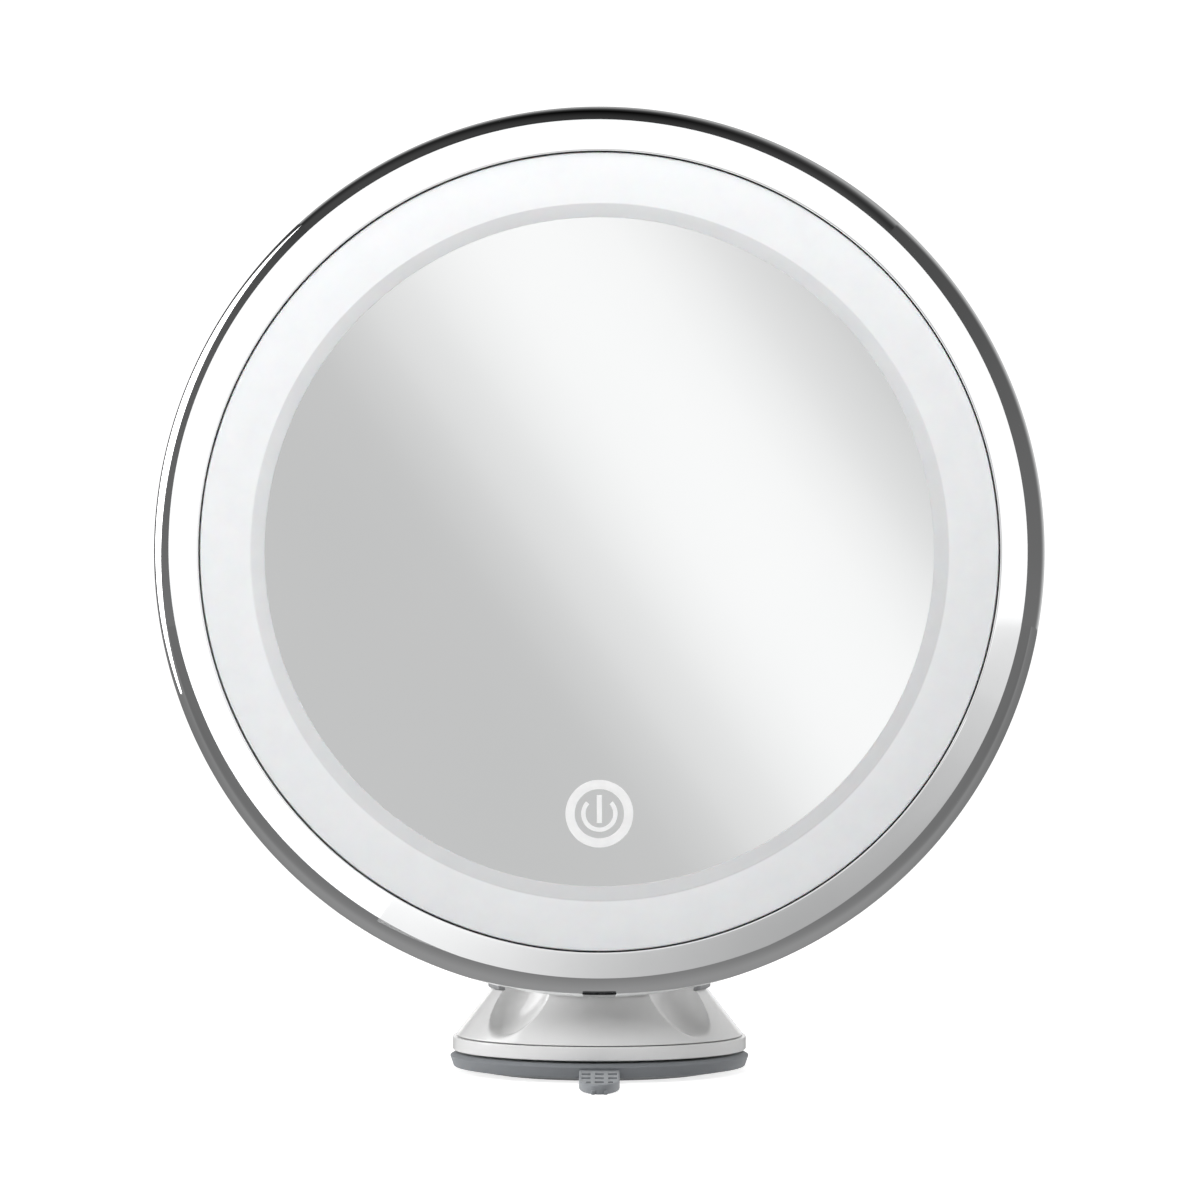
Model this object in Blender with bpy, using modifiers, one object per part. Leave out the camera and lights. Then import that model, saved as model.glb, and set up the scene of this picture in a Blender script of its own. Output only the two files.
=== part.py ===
"""Lighted magnifying mirror: a round chrome-rimmed head on a folding arm and a twist-lock suction base.

Frame: +X to the mirror's right as seen from in front, +Y to the back, +Z up.
The origin lies on the surface that the suction pad rests on, on the base's upright axis.
The head's own frame has its +Z along the mirror's outward normal and its origin on the front plane.
"""

import math

import bmesh
import bpy
from mathutils import Matrix, Vector

MM = 0.001
FULL_TURN = 2 * math.pi
RIGHT_ANGLE = math.pi / 2

# Clearances and cutting
GAP = 0.3 * MM
RUNNING_GAP = 0.3 * MM
CUT_OVERRUN = 1.0 * MM
MERGE_DISTANCE = 0.001 * MM

# Facets round one full turn
RIM_STEPS = 64
HIDDEN_RING_STEPS = 32
BASE_STEPS = 40
HUB_STEPS = 20
PIN_STEPS = 14
SCOOP_SEGMENTS = 20
SCOOP_RINGS = 12
TAB_NOSE_STEPS = 12
EAR_STEPS = 12
EYE_STEPS = 16

# Suction pad, from the surface it stands on
PAD_RADIUS = 35.0 * MM
PAD_DRAFT = 1.0 * MM
PAD_BEVEL_WIDTH = 8.5 * MM
PAD_LIFT = 1.2 * MM
PAD_RIM_HEIGHT = 3.4 * MM
PAD_EDGE = 0.4 * MM
PAD_SEAT_ROOM = 0.5 * MM
PAD_SKIN = 2.4 * MM

# Pull tab moulded on the pad's front edge
TAB_WIDTH = 9.2 * MM
TAB_REACH = 25.5 * MM
TAB_ROOT = 4.0 * MM
TAB_THICKNESS = 2.2 * MM
TAB_SLOPE = math.radians(2.2)
TAB_NOSE = 10.5 * MM
TAB_EDGE = 0.3 * MM
GRIP_COUNT = 3
GRIP_WIDTH = 1.9 * MM
GRIP_LENGTH = 3.0 * MM
GRIP_DEPTH = 0.5 * MM
GRIP_COLUMN_PITCH = 2.85 * MM
GRIP_ROW_PITCH = 6.2 * MM
GRIP_FIRST_ROW = 5.6 * MM

# Base housing: the white ring with its web and centre tube
RING_INSET = 1.0 * MM
RING_WIDTH = 3.0 * MM
RING_HEIGHT = 3.1 * MM
RING_EDGE = 0.5 * MM
RING_STEP = 0.4 * MM
RING_STEP_WIDTH = 2.5 * MM
WEB_THICKNESS = 2.1 * MM
WELL_ROOM = 1.5 * MM
WELL_WALL = 2.0 * MM
TUBE_WALL = 3.7 * MM
TUBE_ABOVE_KNOB = 5.0 * MM
TUBE_CAP = 3.8 * MM

# Puller: the stud that lifts the pad's middle, and its cross pin
PULLER_TRAVEL = 2.0 * MM
PULLER_DISC_RADIUS = 12.5 * MM
PULLER_DISC_THICKNESS = 1.6 * MM
PULLER_STUD_RADIUS = 4.0 * MM
PULLER_HEAD = 2.5 * MM
CROSS_PIN_RADIUS = 1.5 * MM

# Lock knob with its finger scoops, collar and cam
KNOB_INSET = 0.5 * MM
KNOB_HEIGHT = 10.3 * MM
KNOB_EDGE = 0.5 * MM
KNOB_SKIRT_WALL = 3.33 * MM
KNOB_TOP_WALL = 6.1 * MM
KNOB_DECK = 1.8 * MM
LOCK_TURN = math.radians(90.0)
SCOOP_COUNT = 4
SCOOP_HALF_LENGTH = 10.8 * MM
SCOOP_HALF_WIDTH = 8.3 * MM
SCOOP_DEPTH = 4.2 * MM
SCOOP_TOP_DROP = 0.3 * MM
COLLAR_OVERHANG = 0.4 * MM
COLLAR_WIDTH = 9.1 * MM
COLLAR_HEIGHT = 2.6 * MM
COLLAR_EDGE = 0.5 * MM
CAM_PLATE_THICKNESS = 1.2 * MM
CAM_WIDTH = 6.2 * MM
CAM_STEP = 0.4 * MM
CAM_PIN_INSET = 1.0 * MM
CAM_RAMP_INSET = 0.2 * MM
CAM_RAMP_STEPS = 14
CAM_LEAD = math.radians(4.0)
CAM_LAND = math.radians(10.0)

# Turret that turns on the base's centre tube
TURRET_LEDGE = 6.2 * MM
TURRET_OVERLAP = 0.5 * MM
TURRET_SHOULDER_WIDTH = 3.0 * MM
TURRET_SHOULDER_DROP = 3.0 * MM
TURRET_WEB = 3.0 * MM
SWIVEL_WASHER_RADIUS = 7.6 * MM
SWIVEL_WASHER_THICKNESS = 0.8 * MM
SWIVEL_SCREW_RADIUS = 2.0 * MM
SWIVEL_SCREW_HEAD_RADIUS = 4.2 * MM
SWIVEL_SCREW_HEAD_HEIGHT = 2.4 * MM
SWIVEL_SCREW_BITE = 3.4 * MM
CLAMP_WASHER_RADIUS = 5.8 * MM
CLAMP_WASHER_THICKNESS = 1.0 * MM

# Arm and its two pivots
PIVOT_ABOVE_TURRET = 13.6 * MM
RIM_ABOVE_SURFACE = 20.0 * MM
ARM_THICKNESS = 10.0 * MM
ARM_EYE_RADIUS = 7.0 * MM
ARM_WAIST = 10.4 * MM
ARM_EDGE = 1.2 * MM
EAR_THICKNESS = 5.0 * MM
EAR_RADIUS = 8.0 * MM
EAR_EDGE = 0.8 * MM
PIVOT_WASHER_THICKNESS = 0.7 * MM
PIVOT_WASHER_RADIUS = 6.4 * MM
PIVOT_BOLT_RADIUS = 3.0 * MM
PIVOT_HEAD_RADIUS = 5.6 * MM
PIVOT_HEAD_THICKNESS = 3.0 * MM
PIVOT_HEAD_CROWN = 0.9 * MM
PIVOT_NUT_RADIUS = 5.8 * MM
PIVOT_NUT_THICKNESS = 3.6 * MM
PIVOT_BOLT_END = 0.6 * MM
NUT_SIDES = 6

# Tilt yoke between the arm and the head
YOKE_PLATE_THICKNESS = 8.3 * MM
YOKE_PLATE_HALF_HEIGHT = 9.0 * MM
YOKE_COUNTERBORE = 3.0 * MM

# Head as a whole
HEAD_RADIUS = 101.5 * MM
PIVOT_BEHIND_YOKE = 8.5 * MM

# Chrome bezel, depths behind the front plane
BEZEL_INSET = 0.6 * MM
BEZEL_NOSE_WIDTH = 3.5 * MM
BEZEL_FACE_WIDTH = 6.6 * MM
BEZEL_LIP_DEPTH = 1.5 * MM
BEZEL_CREASE_DEPTH = 1.5 * MM
BEZEL_DEPTH = 7.0 * MM
BEZEL_WALL = 0.9 * MM
BEZEL_SWELL = 0.35 * MM
BEZEL_NOSE_STEPS = 4
BEZEL_NOSE_START = math.radians(40.0)

# Light diffuser with its bevelled inner lip
DIFFUSER_WIDTH = 11.5 * MM
DIFFUSER_BEVEL_WIDTH = 3.0 * MM
DIFFUSER_FACE_DEPTH = 0.6 * MM
DIFFUSER_THICKNESS = 2.0 * MM
DIFFUSER_LIP_DEPTH = 2.5 * MM
DIFFUSER_LIP_THICKNESS = 1.0 * MM
DIFFUSER_EDGE = 0.2 * MM

# Concave glass
GLASS_HELD_WIDTH = 2.0 * MM
GLASS_THICKNESS = 2.5 * MM
GLASS_CURVE_RADIUS = 560.0 * MM
GLASS_EDGE_DEPTH = 3.9 * MM
GLASS_RINGS = 5

# Touch switch mark on the glass
ICON_MARGIN = 16.1 * MM
ICON_RING_OUTER = 7.73 * MM
ICON_RING_INNER = 5.61 * MM
ICON_ARC_OUTER = 4.15 * MM
ICON_ARC_INNER = 3.15 * MM
ICON_ARC_OPENING = math.radians(94.0)
ICON_BAR_WIDTH = 1.19 * MM
ICON_BAR_LENGTH = 6.42 * MM
ICON_BAR_RISE = 1.05 * MM
ICON_THICKNESS = 0.2 * MM
ICON_STEPS = 40

# Inner tray that carries glass, lights and diffuser
TRAY_WALL = 1.2 * MM
TRAY_LEDGE_WIDTH = 2.6 * MM
TRAY_UPSTAND_WALL = 0.85 * MM
TRAY_SHELF_DEPTH = 9.2 * MM
TRAY_SHELF_THICKNESS = 1.5 * MM
TRAY_OUTER_WALL = 1.8 * MM
TRAY_FLANGE_THICKNESS = 1.5 * MM
TRAY_BOSS_RADIUS = 3.6 * MM

# Lights
LED_BOARD_THICKNESS = 1.2 * MM
LED_COUNT = 24
LED_LENGTH = 3.5 * MM
LED_WIDTH = 2.8 * MM
LED_HEIGHT = 0.9 * MM

# Electronics
SENSOR_WIDTH = 18.0 * MM
SENSOR_HEIGHT = 14.0 * MM
SENSOR_THICKNESS = 1.0 * MM
PORT_WIDTH = 7.75 * MM
PORT_FRONT_DEPTH = 3.95 * MM
PORT_OPENING = 2.6 * MM
PORT_SHELL_WALL = 0.35 * MM
PORT_LENGTH = 5.0 * MM
PORT_TONGUE_THICKNESS = 0.7 * MM
PORT_TONGUE_MARGIN = 1.2 * MM
PORT_FLOOR = 1.0 * MM
PORT_BOARD_WIDTH = 13.0 * MM
PORT_BOARD_HEIGHT = 6.6 * MM
PORT_BOARD_THICKNESS = 0.8 * MM
CONTROL_BOARD_WIDTH = 42.0 * MM
CONTROL_BOARD_HEIGHT = 26.0 * MM
CONTROL_BOARD_THICKNESS = 1.2 * MM
CONTROL_BOARD_DROP = 40.0 * MM
BATTERY_WIDTH = 50.0 * MM
BATTERY_HEIGHT = 34.0 * MM
BATTERY_THICKNESS = 5.0 * MM
BATTERY_RISE = 36.0 * MM
BATTERY_EDGE = 1.2 * MM
BATTERY_PAD_MARGIN = 6.0 * MM
BATTERY_PAD_THICKNESS = 1.0 * MM
LEAD_RADIUS = 0.6 * MM
LEAD_SPACING = 3.0 * MM
LEAD_OFFSET = 16.0 * MM
LEAD_BOW = 5.0 * MM
LEAD_STEPS = 13

# Rear housing
HOUSING_WALL = 1.8 * MM
HOUSING_SKIRT = 5.2 * MM
HOUSING_SHOULDER = 43.5 * MM
HOUSING_DOME_STEPS = 5
HOUSING_DOME_POWER = 2.3
HUB_BOSS_RADIUS = 13.2 * MM
HUB_BOSS_HEIGHT = 3.8 * MM
BUSH_WALL = 3.0 * MM
HOUSING_SCREW_COUNT = 4
HOUSING_SCREW_OFFSET = 4.0 * MM
HOUSING_SCREW_RADIUS = 1.5 * MM
HOUSING_SCREW_HEAD_RADIUS = 3.2 * MM
HOUSING_SCREW_HEAD_HEIGHT = 1.3 * MM
HOUSING_SCREW_BITE = 4.5 * MM

# Roll bearing in the hub
BUSH_FLANGE_RADIUS = 9.0 * MM
BUSH_FLANGE_THICKNESS = 1.5 * MM
SPINDLE_RADIUS = 3.0 * MM
SPINDLE_HEAD_RADIUS = 8.0 * MM
SPINDLE_HEAD_THICKNESS = 1.5 * MM
SPINDLE_WASHER_RADIUS = 9.0 * MM
SPINDLE_WASHER_THICKNESS = 0.8 * MM
SPINDLE_NUT_RADIUS = 5.5 * MM
SPINDLE_NUT_THICKNESS = 2.4 * MM

# Distances along a pivot's axis
WASHER_INNER_FACE = ARM_THICKNESS / 2 + GAP
WASHER_OUTER_FACE = WASHER_INNER_FACE + PIVOT_WASHER_THICKNESS
EAR_INNER_FACE = WASHER_OUTER_FACE + GAP
EAR_OUTER_FACE = EAR_INNER_FACE + EAR_THICKNESS
BOLT_SEAT = EAR_OUTER_FACE + GAP

# Radii about the base's axis that follow from the sizes above
PAD_FOOT_RADIUS = PAD_RADIUS - PAD_DRAFT
PAD_CONTACT_RADIUS = PAD_FOOT_RADIUS - PAD_BEVEL_WIDTH
RING_RADIUS = PAD_RADIUS - RING_INSET
KNOB_RADIUS = RING_RADIUS - KNOB_INSET
TURRET_RADIUS = EAR_OUTER_FACE + TURRET_LEDGE
TURRET_SHOULDER_RADIUS = TURRET_RADIUS - TURRET_SHOULDER_WIDTH
COLLAR_INNER_RADIUS = TURRET_RADIUS - TURRET_OVERLAP
COLLAR_RADIUS = COLLAR_INNER_RADIUS + COLLAR_WIDTH
KNOB_TOP_RADIUS = COLLAR_RADIUS - COLLAR_OVERHANG
KNOB_SLOPE = math.atan2(KNOB_RADIUS - KNOB_TOP_RADIUS, KNOB_HEIGHT)
KNOB_CAVITY_RADIUS = KNOB_RADIUS - KNOB_SKIRT_WALL / math.cos(KNOB_SLOPE)
KNOB_DECK_RADIUS = KNOB_TOP_RADIUS + KNOB_DECK * math.tan(KNOB_SLOPE)
KNOB_CAVITY_TOP_RADIUS = KNOB_DECK_RADIUS - KNOB_TOP_WALL / math.cos(KNOB_SLOPE)
WELL_RADIUS = PULLER_DISC_RADIUS + WELL_ROOM
PAD_SEAT_RADIUS = PULLER_DISC_RADIUS + PAD_SEAT_ROOM
TUBE_BORE_RADIUS = PULLER_STUD_RADIUS + GAP
TUBE_RADIUS = TUBE_BORE_RADIUS + TUBE_WALL
CAM_BORE_RADIUS = TUBE_RADIUS + GAP
CAM_RADIUS = CAM_BORE_RADIUS + CAM_WIDTH
CROSS_PIN_LENGTH = 2 * (CAM_RADIUS - CAM_PIN_INSET)

# Heights above the surface that follow from the sizes above
PAD_TOP = PAD_LIFT + PAD_RIM_HEIGHT
HOUSING_SEAT = PAD_TOP + GAP
RING_BOTTOM = HOUSING_SEAT + RING_STEP
RING_TOP = RING_BOTTOM + RING_HEIGHT
KNOB_BOTTOM = RING_TOP + GAP
KNOB_TOP = KNOB_BOTTOM + KNOB_HEIGHT
COLLAR_BOTTOM = KNOB_TOP + GAP
COLLAR_TOP = COLLAR_BOTTOM + COLLAR_HEIGHT
TUBE_TOP = KNOB_TOP + TUBE_ABOVE_KNOB
PULLER_BOTTOM = PAD_SKIN + GAP
WELL_TOP = PULLER_BOTTOM + PULLER_DISC_THICKNESS + PULLER_TRAVEL + 2 * GAP
CAM_BOTTOM = WELL_TOP + WELL_WALL + GAP
CAM_PLATE_TOP = CAM_BOTTOM + CAM_PLATE_THICKNESS
CAM_LOW = CAM_PLATE_TOP + CAM_STEP
CROSS_PIN_HEIGHT = CAM_LOW + GAP + CROSS_PIN_RADIUS
PULLER_TOP = CROSS_PIN_HEIGHT + PULLER_HEAD
SWIVEL_WASHER_BOTTOM = TUBE_TOP + GAP
TURRET_WEB_BOTTOM = SWIVEL_WASHER_BOTTOM + SWIVEL_WASHER_THICKNESS + GAP
TURRET_TOP = TURRET_WEB_BOTTOM + TURRET_WEB
CLAMP_WASHER_BOTTOM = TURRET_TOP + GAP
SWIVEL_SCREW_SEAT = CLAMP_WASHER_BOTTOM + CLAMP_WASHER_THICKNESS + GAP
PIN_HOLE_RADIUS = CROSS_PIN_RADIUS + GAP
SCREW_HOLE_RADIUS = SWIVEL_SCREW_RADIUS + GAP
PIVOT_HOLE_RADIUS = PIVOT_BOLT_RADIUS + RUNNING_GAP
SPINDLE_HOLE_RADIUS = SPINDLE_RADIUS + RUNNING_GAP
HUB_BORE_RADIUS = SPINDLE_HOLE_RADIUS + BUSH_WALL + GAP
LOWER_PIVOT_HEIGHT = TURRET_TOP + PIVOT_ABOVE_TURRET
HEAD_CENTRE_HEIGHT = HEAD_RADIUS + RIM_ABOVE_SURFACE

# Radii about the head's axis
BEZEL_RADIUS = HEAD_RADIUS - BEZEL_INSET
BEZEL_CREASE_RADIUS = BEZEL_RADIUS - BEZEL_NOSE_WIDTH
BEZEL_LIP_RADIUS = BEZEL_CREASE_RADIUS - BEZEL_FACE_WIDTH
DIFFUSER_RADIUS = BEZEL_LIP_RADIUS - GAP
DIFFUSER_INNER_RADIUS = DIFFUSER_RADIUS - DIFFUSER_WIDTH
GLASS_VISIBLE_RADIUS = DIFFUSER_INNER_RADIUS - DIFFUSER_BEVEL_WIDTH
GLASS_RADIUS = GLASS_VISIBLE_RADIUS + GLASS_HELD_WIDTH
ICON_DROP = GLASS_VISIBLE_RADIUS - ICON_MARGIN
TRAY_UPSTAND_RADIUS = GLASS_RADIUS + GAP
TRAY_UPSTAND_OUTER_RADIUS = TRAY_UPSTAND_RADIUS + TRAY_UPSTAND_WALL
TRAY_WALL_OUTER_RADIUS = DIFFUSER_RADIUS - GAP / 3
TRAY_WALL_INNER_RADIUS = TRAY_WALL_OUTER_RADIUS - TRAY_OUTER_WALL
HOUSING_FLAT_RADIUS = HEAD_RADIUS - HOUSING_SHOULDER
HOUSING_SCREW_CIRCLE = HOUSING_FLAT_RADIUS + HOUSING_SCREW_OFFSET

# Depths in the head's own frame, behind its front plane
DIFFUSER_BACK_DEPTH = DIFFUSER_FACE_DEPTH + DIFFUSER_THICKNESS
DIFFUSER_LIP_BACK = DIFFUSER_LIP_DEPTH + DIFFUSER_LIP_THICKNESS
GLASS_SAGITTA = GLASS_RADIUS**2 / (2 * GLASS_CURVE_RADIUS)
TRAY_FLOOR_DEPTH = GLASS_EDGE_DEPTH + GLASS_SAGITTA + GLASS_THICKNESS + GAP
TRAY_BACK_DEPTH = TRAY_FLOOR_DEPTH + TRAY_WALL
BATTERY_FRONT_DEPTH = TRAY_BACK_DEPTH + GAP
BATTERY_PAD_DEPTH = BATTERY_FRONT_DEPTH + BATTERY_THICKNESS + GAP
HOUSING_INNER_DEPTH = BATTERY_PAD_DEPTH + BATTERY_PAD_THICKNESS + GAP
HEAD_DEPTH = HOUSING_INNER_DEPTH + HOUSING_WALL
PORT_BOARD_DEPTH = PORT_FRONT_DEPTH + PORT_OPENING
TRAY_FLANGE_DEPTH = PORT_BOARD_DEPTH + PORT_BOARD_THICKNESS + GAP
TRAY_FLANGE_RADIUS = HEAD_RADIUS - HOUSING_WALL - GAP
HOUSING_FRONT_DEPTH = BEZEL_DEPTH + GAP
BOSS_BACK_DEPTH = HEAD_DEPTH + HUB_BOSS_HEIGHT
BOSS_FLOOR_DEPTH = BOSS_BACK_DEPTH - HOUSING_WALL
SPINDLE_WASHER_DEPTH = BOSS_BACK_DEPTH + GAP
YOKE_FRONT_DEPTH = SPINDLE_WASHER_DEPTH + SPINDLE_WASHER_THICKNESS + GAP
YOKE_BACK_DEPTH = YOKE_FRONT_DEPTH + YOKE_PLATE_THICKNESS
COUNTERBORE_DEPTH = YOKE_BACK_DEPTH - YOKE_COUNTERBORE
HEAD_SETBACK = YOKE_BACK_DEPTH + PIVOT_BEHIND_YOKE

PARTS = "lighted_magnifying_mirror"
TOOLS = "cutting_tools"


class Finish:
    """One named surface, made once and shared by the pieces that have it."""

    def __init__(self, name, color, roughness, metallic):
        self.material = bpy.data.materials.new(name)
        self.material.use_nodes = True
        shader = self.material.node_tree.nodes["Principled BSDF"]
        shader.inputs["Base Color"].default_value = (*color, 1.0)
        shader.inputs["Roughness"].default_value = roughness
        shader.inputs["Metallic"].default_value = metallic
        self.material.diffuse_color = (*color, 1.0)


def clear_scene():
    """Remove whatever the file holds before modelling."""
    for old in list(bpy.data.objects):
        bpy.data.objects.remove(old, do_unlink=True)


def collection(name):
    """Return a new collection in the scene."""
    made = bpy.data.collections.new(name)
    bpy.context.scene.collection.children.link(made)
    return made


def empty(name, parent, location, rotation=(0, 0, 0)):
    """Return an empty that marks a joint's axis or a frame."""
    marker = bpy.data.objects.new(name, None)
    marker.parent = parent
    marker.location = location
    marker.rotation_euler = rotation
    bpy.data.collections[PARTS].objects.link(marker)
    return marker


def add_object(name, mesh, finish, parent, location=(0, 0, 0), rotation=(0, 0, 0)):
    """Put a mesh in the scene as a named piece with its finish."""
    piece = bpy.data.objects.new(name, mesh)
    mesh.name = name
    mesh.materials.clear()
    mesh.materials.append(finish.material)
    piece.parent = parent
    piece.location = location
    piece.rotation_euler = rotation
    bpy.data.collections[PARTS].objects.link(piece)
    return piece


def as_tool(piece):
    """Turn a piece into a cutter or filler that isn't part of the object."""
    piece.hide_render = True
    piece.display_type = "WIRE"
    bpy.data.collections[PARTS].objects.unlink(piece)
    bpy.data.collections[TOOLS].objects.link(piece)
    return piece


def boolean(piece, tool, operation):
    """Cut the tool out of a piece, or join it on."""
    step = piece.modifiers.new(tool.name, "BOOLEAN")
    step.operation = operation
    step.solver = "EXACT"
    step.object = tool


def smooth(mesh, angle=math.radians(30.0)):
    """Shade a mesh smooth with crisp edges past an angle."""
    mesh.shade_smooth()
    mesh.set_sharp_from_angle(angle=angle)


def round_edges(piece, width, segments=2, angle=math.radians(50.0)):
    """Round a piece's crisp edges."""
    step = piece.modifiers.new("rounded_edges", "BEVEL")
    step.width = width
    step.segments = segments
    step.limit_method = "ANGLE"
    step.angle_limit = angle
    step.use_clamp_overlap = True


def turned(name, profile, steps, finish, parent, closed=True, location=(0, 0, 0), rotation=(0, 0, 0)):
    """Turn a (radius, height) profile round Z; it runs down its outer side."""
    mesh = bpy.data.meshes.new(name)
    points = [(radius, 0, height) for radius, height in profile]
    edges = [(index, index + 1) for index in range(len(points) - 1)]
    if closed:
        edges.append((len(points) - 1, 0))
    mesh.from_pydata(points, edges, [])
    piece = add_object(name, mesh, finish, parent, location, rotation)
    screw = piece.modifiers.new("turned", "SCREW")
    screw.steps = steps
    screw.render_steps = steps
    screw.use_merge_vertices = True
    screw.merge_threshold = MERGE_DISTANCE
    screw.use_smooth_shade = True
    return piece


def shell(piece, wall):
    """Give an open turned surface its wall, on the inside."""
    step = piece.modifiers.new("wall", "SOLIDIFY")
    step.thickness = wall
    step.offset = -1.0
    step.use_even_offset = True


def mesh_from(build):
    """Return a mesh that a function makes in a bmesh."""
    work = bmesh.new()
    build(work)
    mesh = bpy.data.meshes.new("work")
    work.to_mesh(mesh)
    work.free()
    return mesh


def add_cylinder(work, radius, length, steps, matrix=None):
    """Add a capped cylinder along Z, centred, to a bmesh."""
    bmesh.ops.create_cone(
        work, cap_ends=True, segments=steps, radius1=radius, radius2=radius, depth=length,
        matrix=matrix or Matrix.Identity(4),
    )


def add_box(work, size, centre=(0, 0, 0), turn=None):
    """Add a box of a size at a place to a bmesh."""
    matrix = (turn or Matrix.Identity(4)) @ Matrix.Translation(centre) @ Matrix.Diagonal((*size, 1))
    bmesh.ops.create_cube(work, size=1, matrix=matrix)


def cylinder(name, radius, length, steps, finish, parent, location=(0, 0, 0), rotation=(0, 0, 0)):
    """Return a cylinder along its own Z, centred on its origin."""
    mesh = mesh_from(lambda work: add_cylinder(work, radius, length, steps))
    smooth(mesh)
    return add_object(name, mesh, finish, parent, location, rotation)


def box(name, size, finish, parent, location=(0, 0, 0), rotation=(0, 0, 0)):
    """Return a box centred on its origin."""
    mesh = mesh_from(lambda work: add_box(work, size))
    return add_object(name, mesh, finish, parent, location, rotation)


def arc(centre, radius, start, end, steps):
    """Return points along an arc, both ends included."""
    angles = [start + (end - start) * index / steps for index in range(steps + 1)]
    return [(centre[0] + radius * math.cos(a), centre[1] + radius * math.sin(a)) for a in angles]


def curve_mesh(curve):
    """Return a curve's evaluated shape as a mesh with its caps welded."""
    holder = bpy.data.objects.new("curve_holder", curve)
    bpy.context.scene.collection.objects.link(holder)
    bpy.context.view_layer.update()
    shape = holder.evaluated_get(bpy.context.evaluated_depsgraph_get())
    mesh = bpy.data.meshes.new_from_object(shape)
    work = bmesh.new()
    work.from_mesh(mesh)
    bmesh.ops.remove_doubles(work, verts=work.verts, dist=MERGE_DISTANCE)
    work.to_mesh(mesh)
    work.free()
    bpy.data.objects.remove(holder, do_unlink=True)
    return mesh


def plate(name, outlines, thickness, finish, parent, location=(0, 0, 0), rotation=(0, 0, 0)):
    """Return a flat piece; the first outline is its edge and others are holes or islands."""
    curve = bpy.data.curves.new(name, "CURVE")
    curve.dimensions = "2D"
    curve.fill_mode = "BOTH"
    curve.extrude = thickness / 2
    for outline in outlines:
        spline = curve.splines.new("POLY")
        spline.points.add(len(outline) - 1)
        spline.use_cyclic_u = True
        for point, place in zip(spline.points, outline):
            point.co = (place[0], place[1], 0, 1)
    mesh = curve_mesh(curve)
    smooth(mesh)
    return add_object(name, mesh, finish, parent, location, rotation)


def circle(radius, steps, centre=(0, 0)):
    """Return a closed circle's points."""
    return arc(centre, radius, 0, FULL_TURN, steps)[:-1]


# Rotations that lay a flat piece or a turned piece along another axis
FACE_FORWARD = (RIGHT_ANGLE, 0, 0)
PLATE_ACROSS = (RIGHT_ANGLE, 0, RIGHT_ANGLE)
ALONG_X = (0, RIGHT_ANGLE, 0)


def make_suction_pad(finish, parent):
    """The rubber pad: a thick rim, a thinner middle and a moulded pull tab."""
    profile = [
        (0, PAD_SKIN),
        (PAD_SEAT_RADIUS, PAD_SKIN),
        (PAD_SEAT_RADIUS, PAD_TOP),
        (PAD_RADIUS - PAD_EDGE, PAD_TOP),
        (PAD_RADIUS, PAD_TOP - PAD_EDGE),
        (PAD_FOOT_RADIUS, PAD_LIFT),
        (PAD_CONTACT_RADIUS, 0),
        (0, 0),
    ]
    pad = turned("suction_pad", profile, BASE_STEPS, finish, parent, closed=False)
    pivot = empty("tab_frame", parent, (0, -PAD_RADIUS, TAB_THICKNESS / 2), (TAB_SLOPE, 0, 0))
    half = TAB_WIDTH / 2
    outline = [(half, TAB_ROOT), (-half, TAB_ROOT)]
    for x, y in arc((0, 0), half, math.pi, FULL_TURN, TAB_NOSE_STEPS):
        outline.append((x, y * TAB_NOSE / half + TAB_NOSE - TAB_REACH))
    rise = math.sin(TAB_SLOPE) * TAB_REACH + (1 - math.cos(TAB_SLOPE)) * TAB_THICKNESS / 2
    tongue = plate("pull_tab", [outline], TAB_THICKNESS, finish, pivot, (0, 0, rise))
    round_edges(tongue, TAB_EDGE)
    grips = box_grid("tab_grips", finish, pivot, rise)
    boolean(as_tool(tongue), as_tool(grips), "DIFFERENCE")
    boolean(pad, tongue, "UNION")
    return pad


def box_grid(name, finish, parent, rise):
    """Return the grid of pockets sunk in the tab's top."""
    depth = 2 * GRIP_DEPTH
    middle = (GRIP_COUNT - 1) / 2

    def build(work):
        for row in range(GRIP_COUNT):
            for column in range(GRIP_COUNT):
                across = (column - middle) * GRIP_COLUMN_PITCH
                along = -GRIP_FIRST_ROW - row * GRIP_ROW_PITCH
                add_box(work, (GRIP_WIDTH, GRIP_LENGTH, depth), (across, along, 0))

    return add_object(name, mesh_from(build), finish, parent, (0, 0, rise + TAB_THICKNESS / 2))


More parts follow.
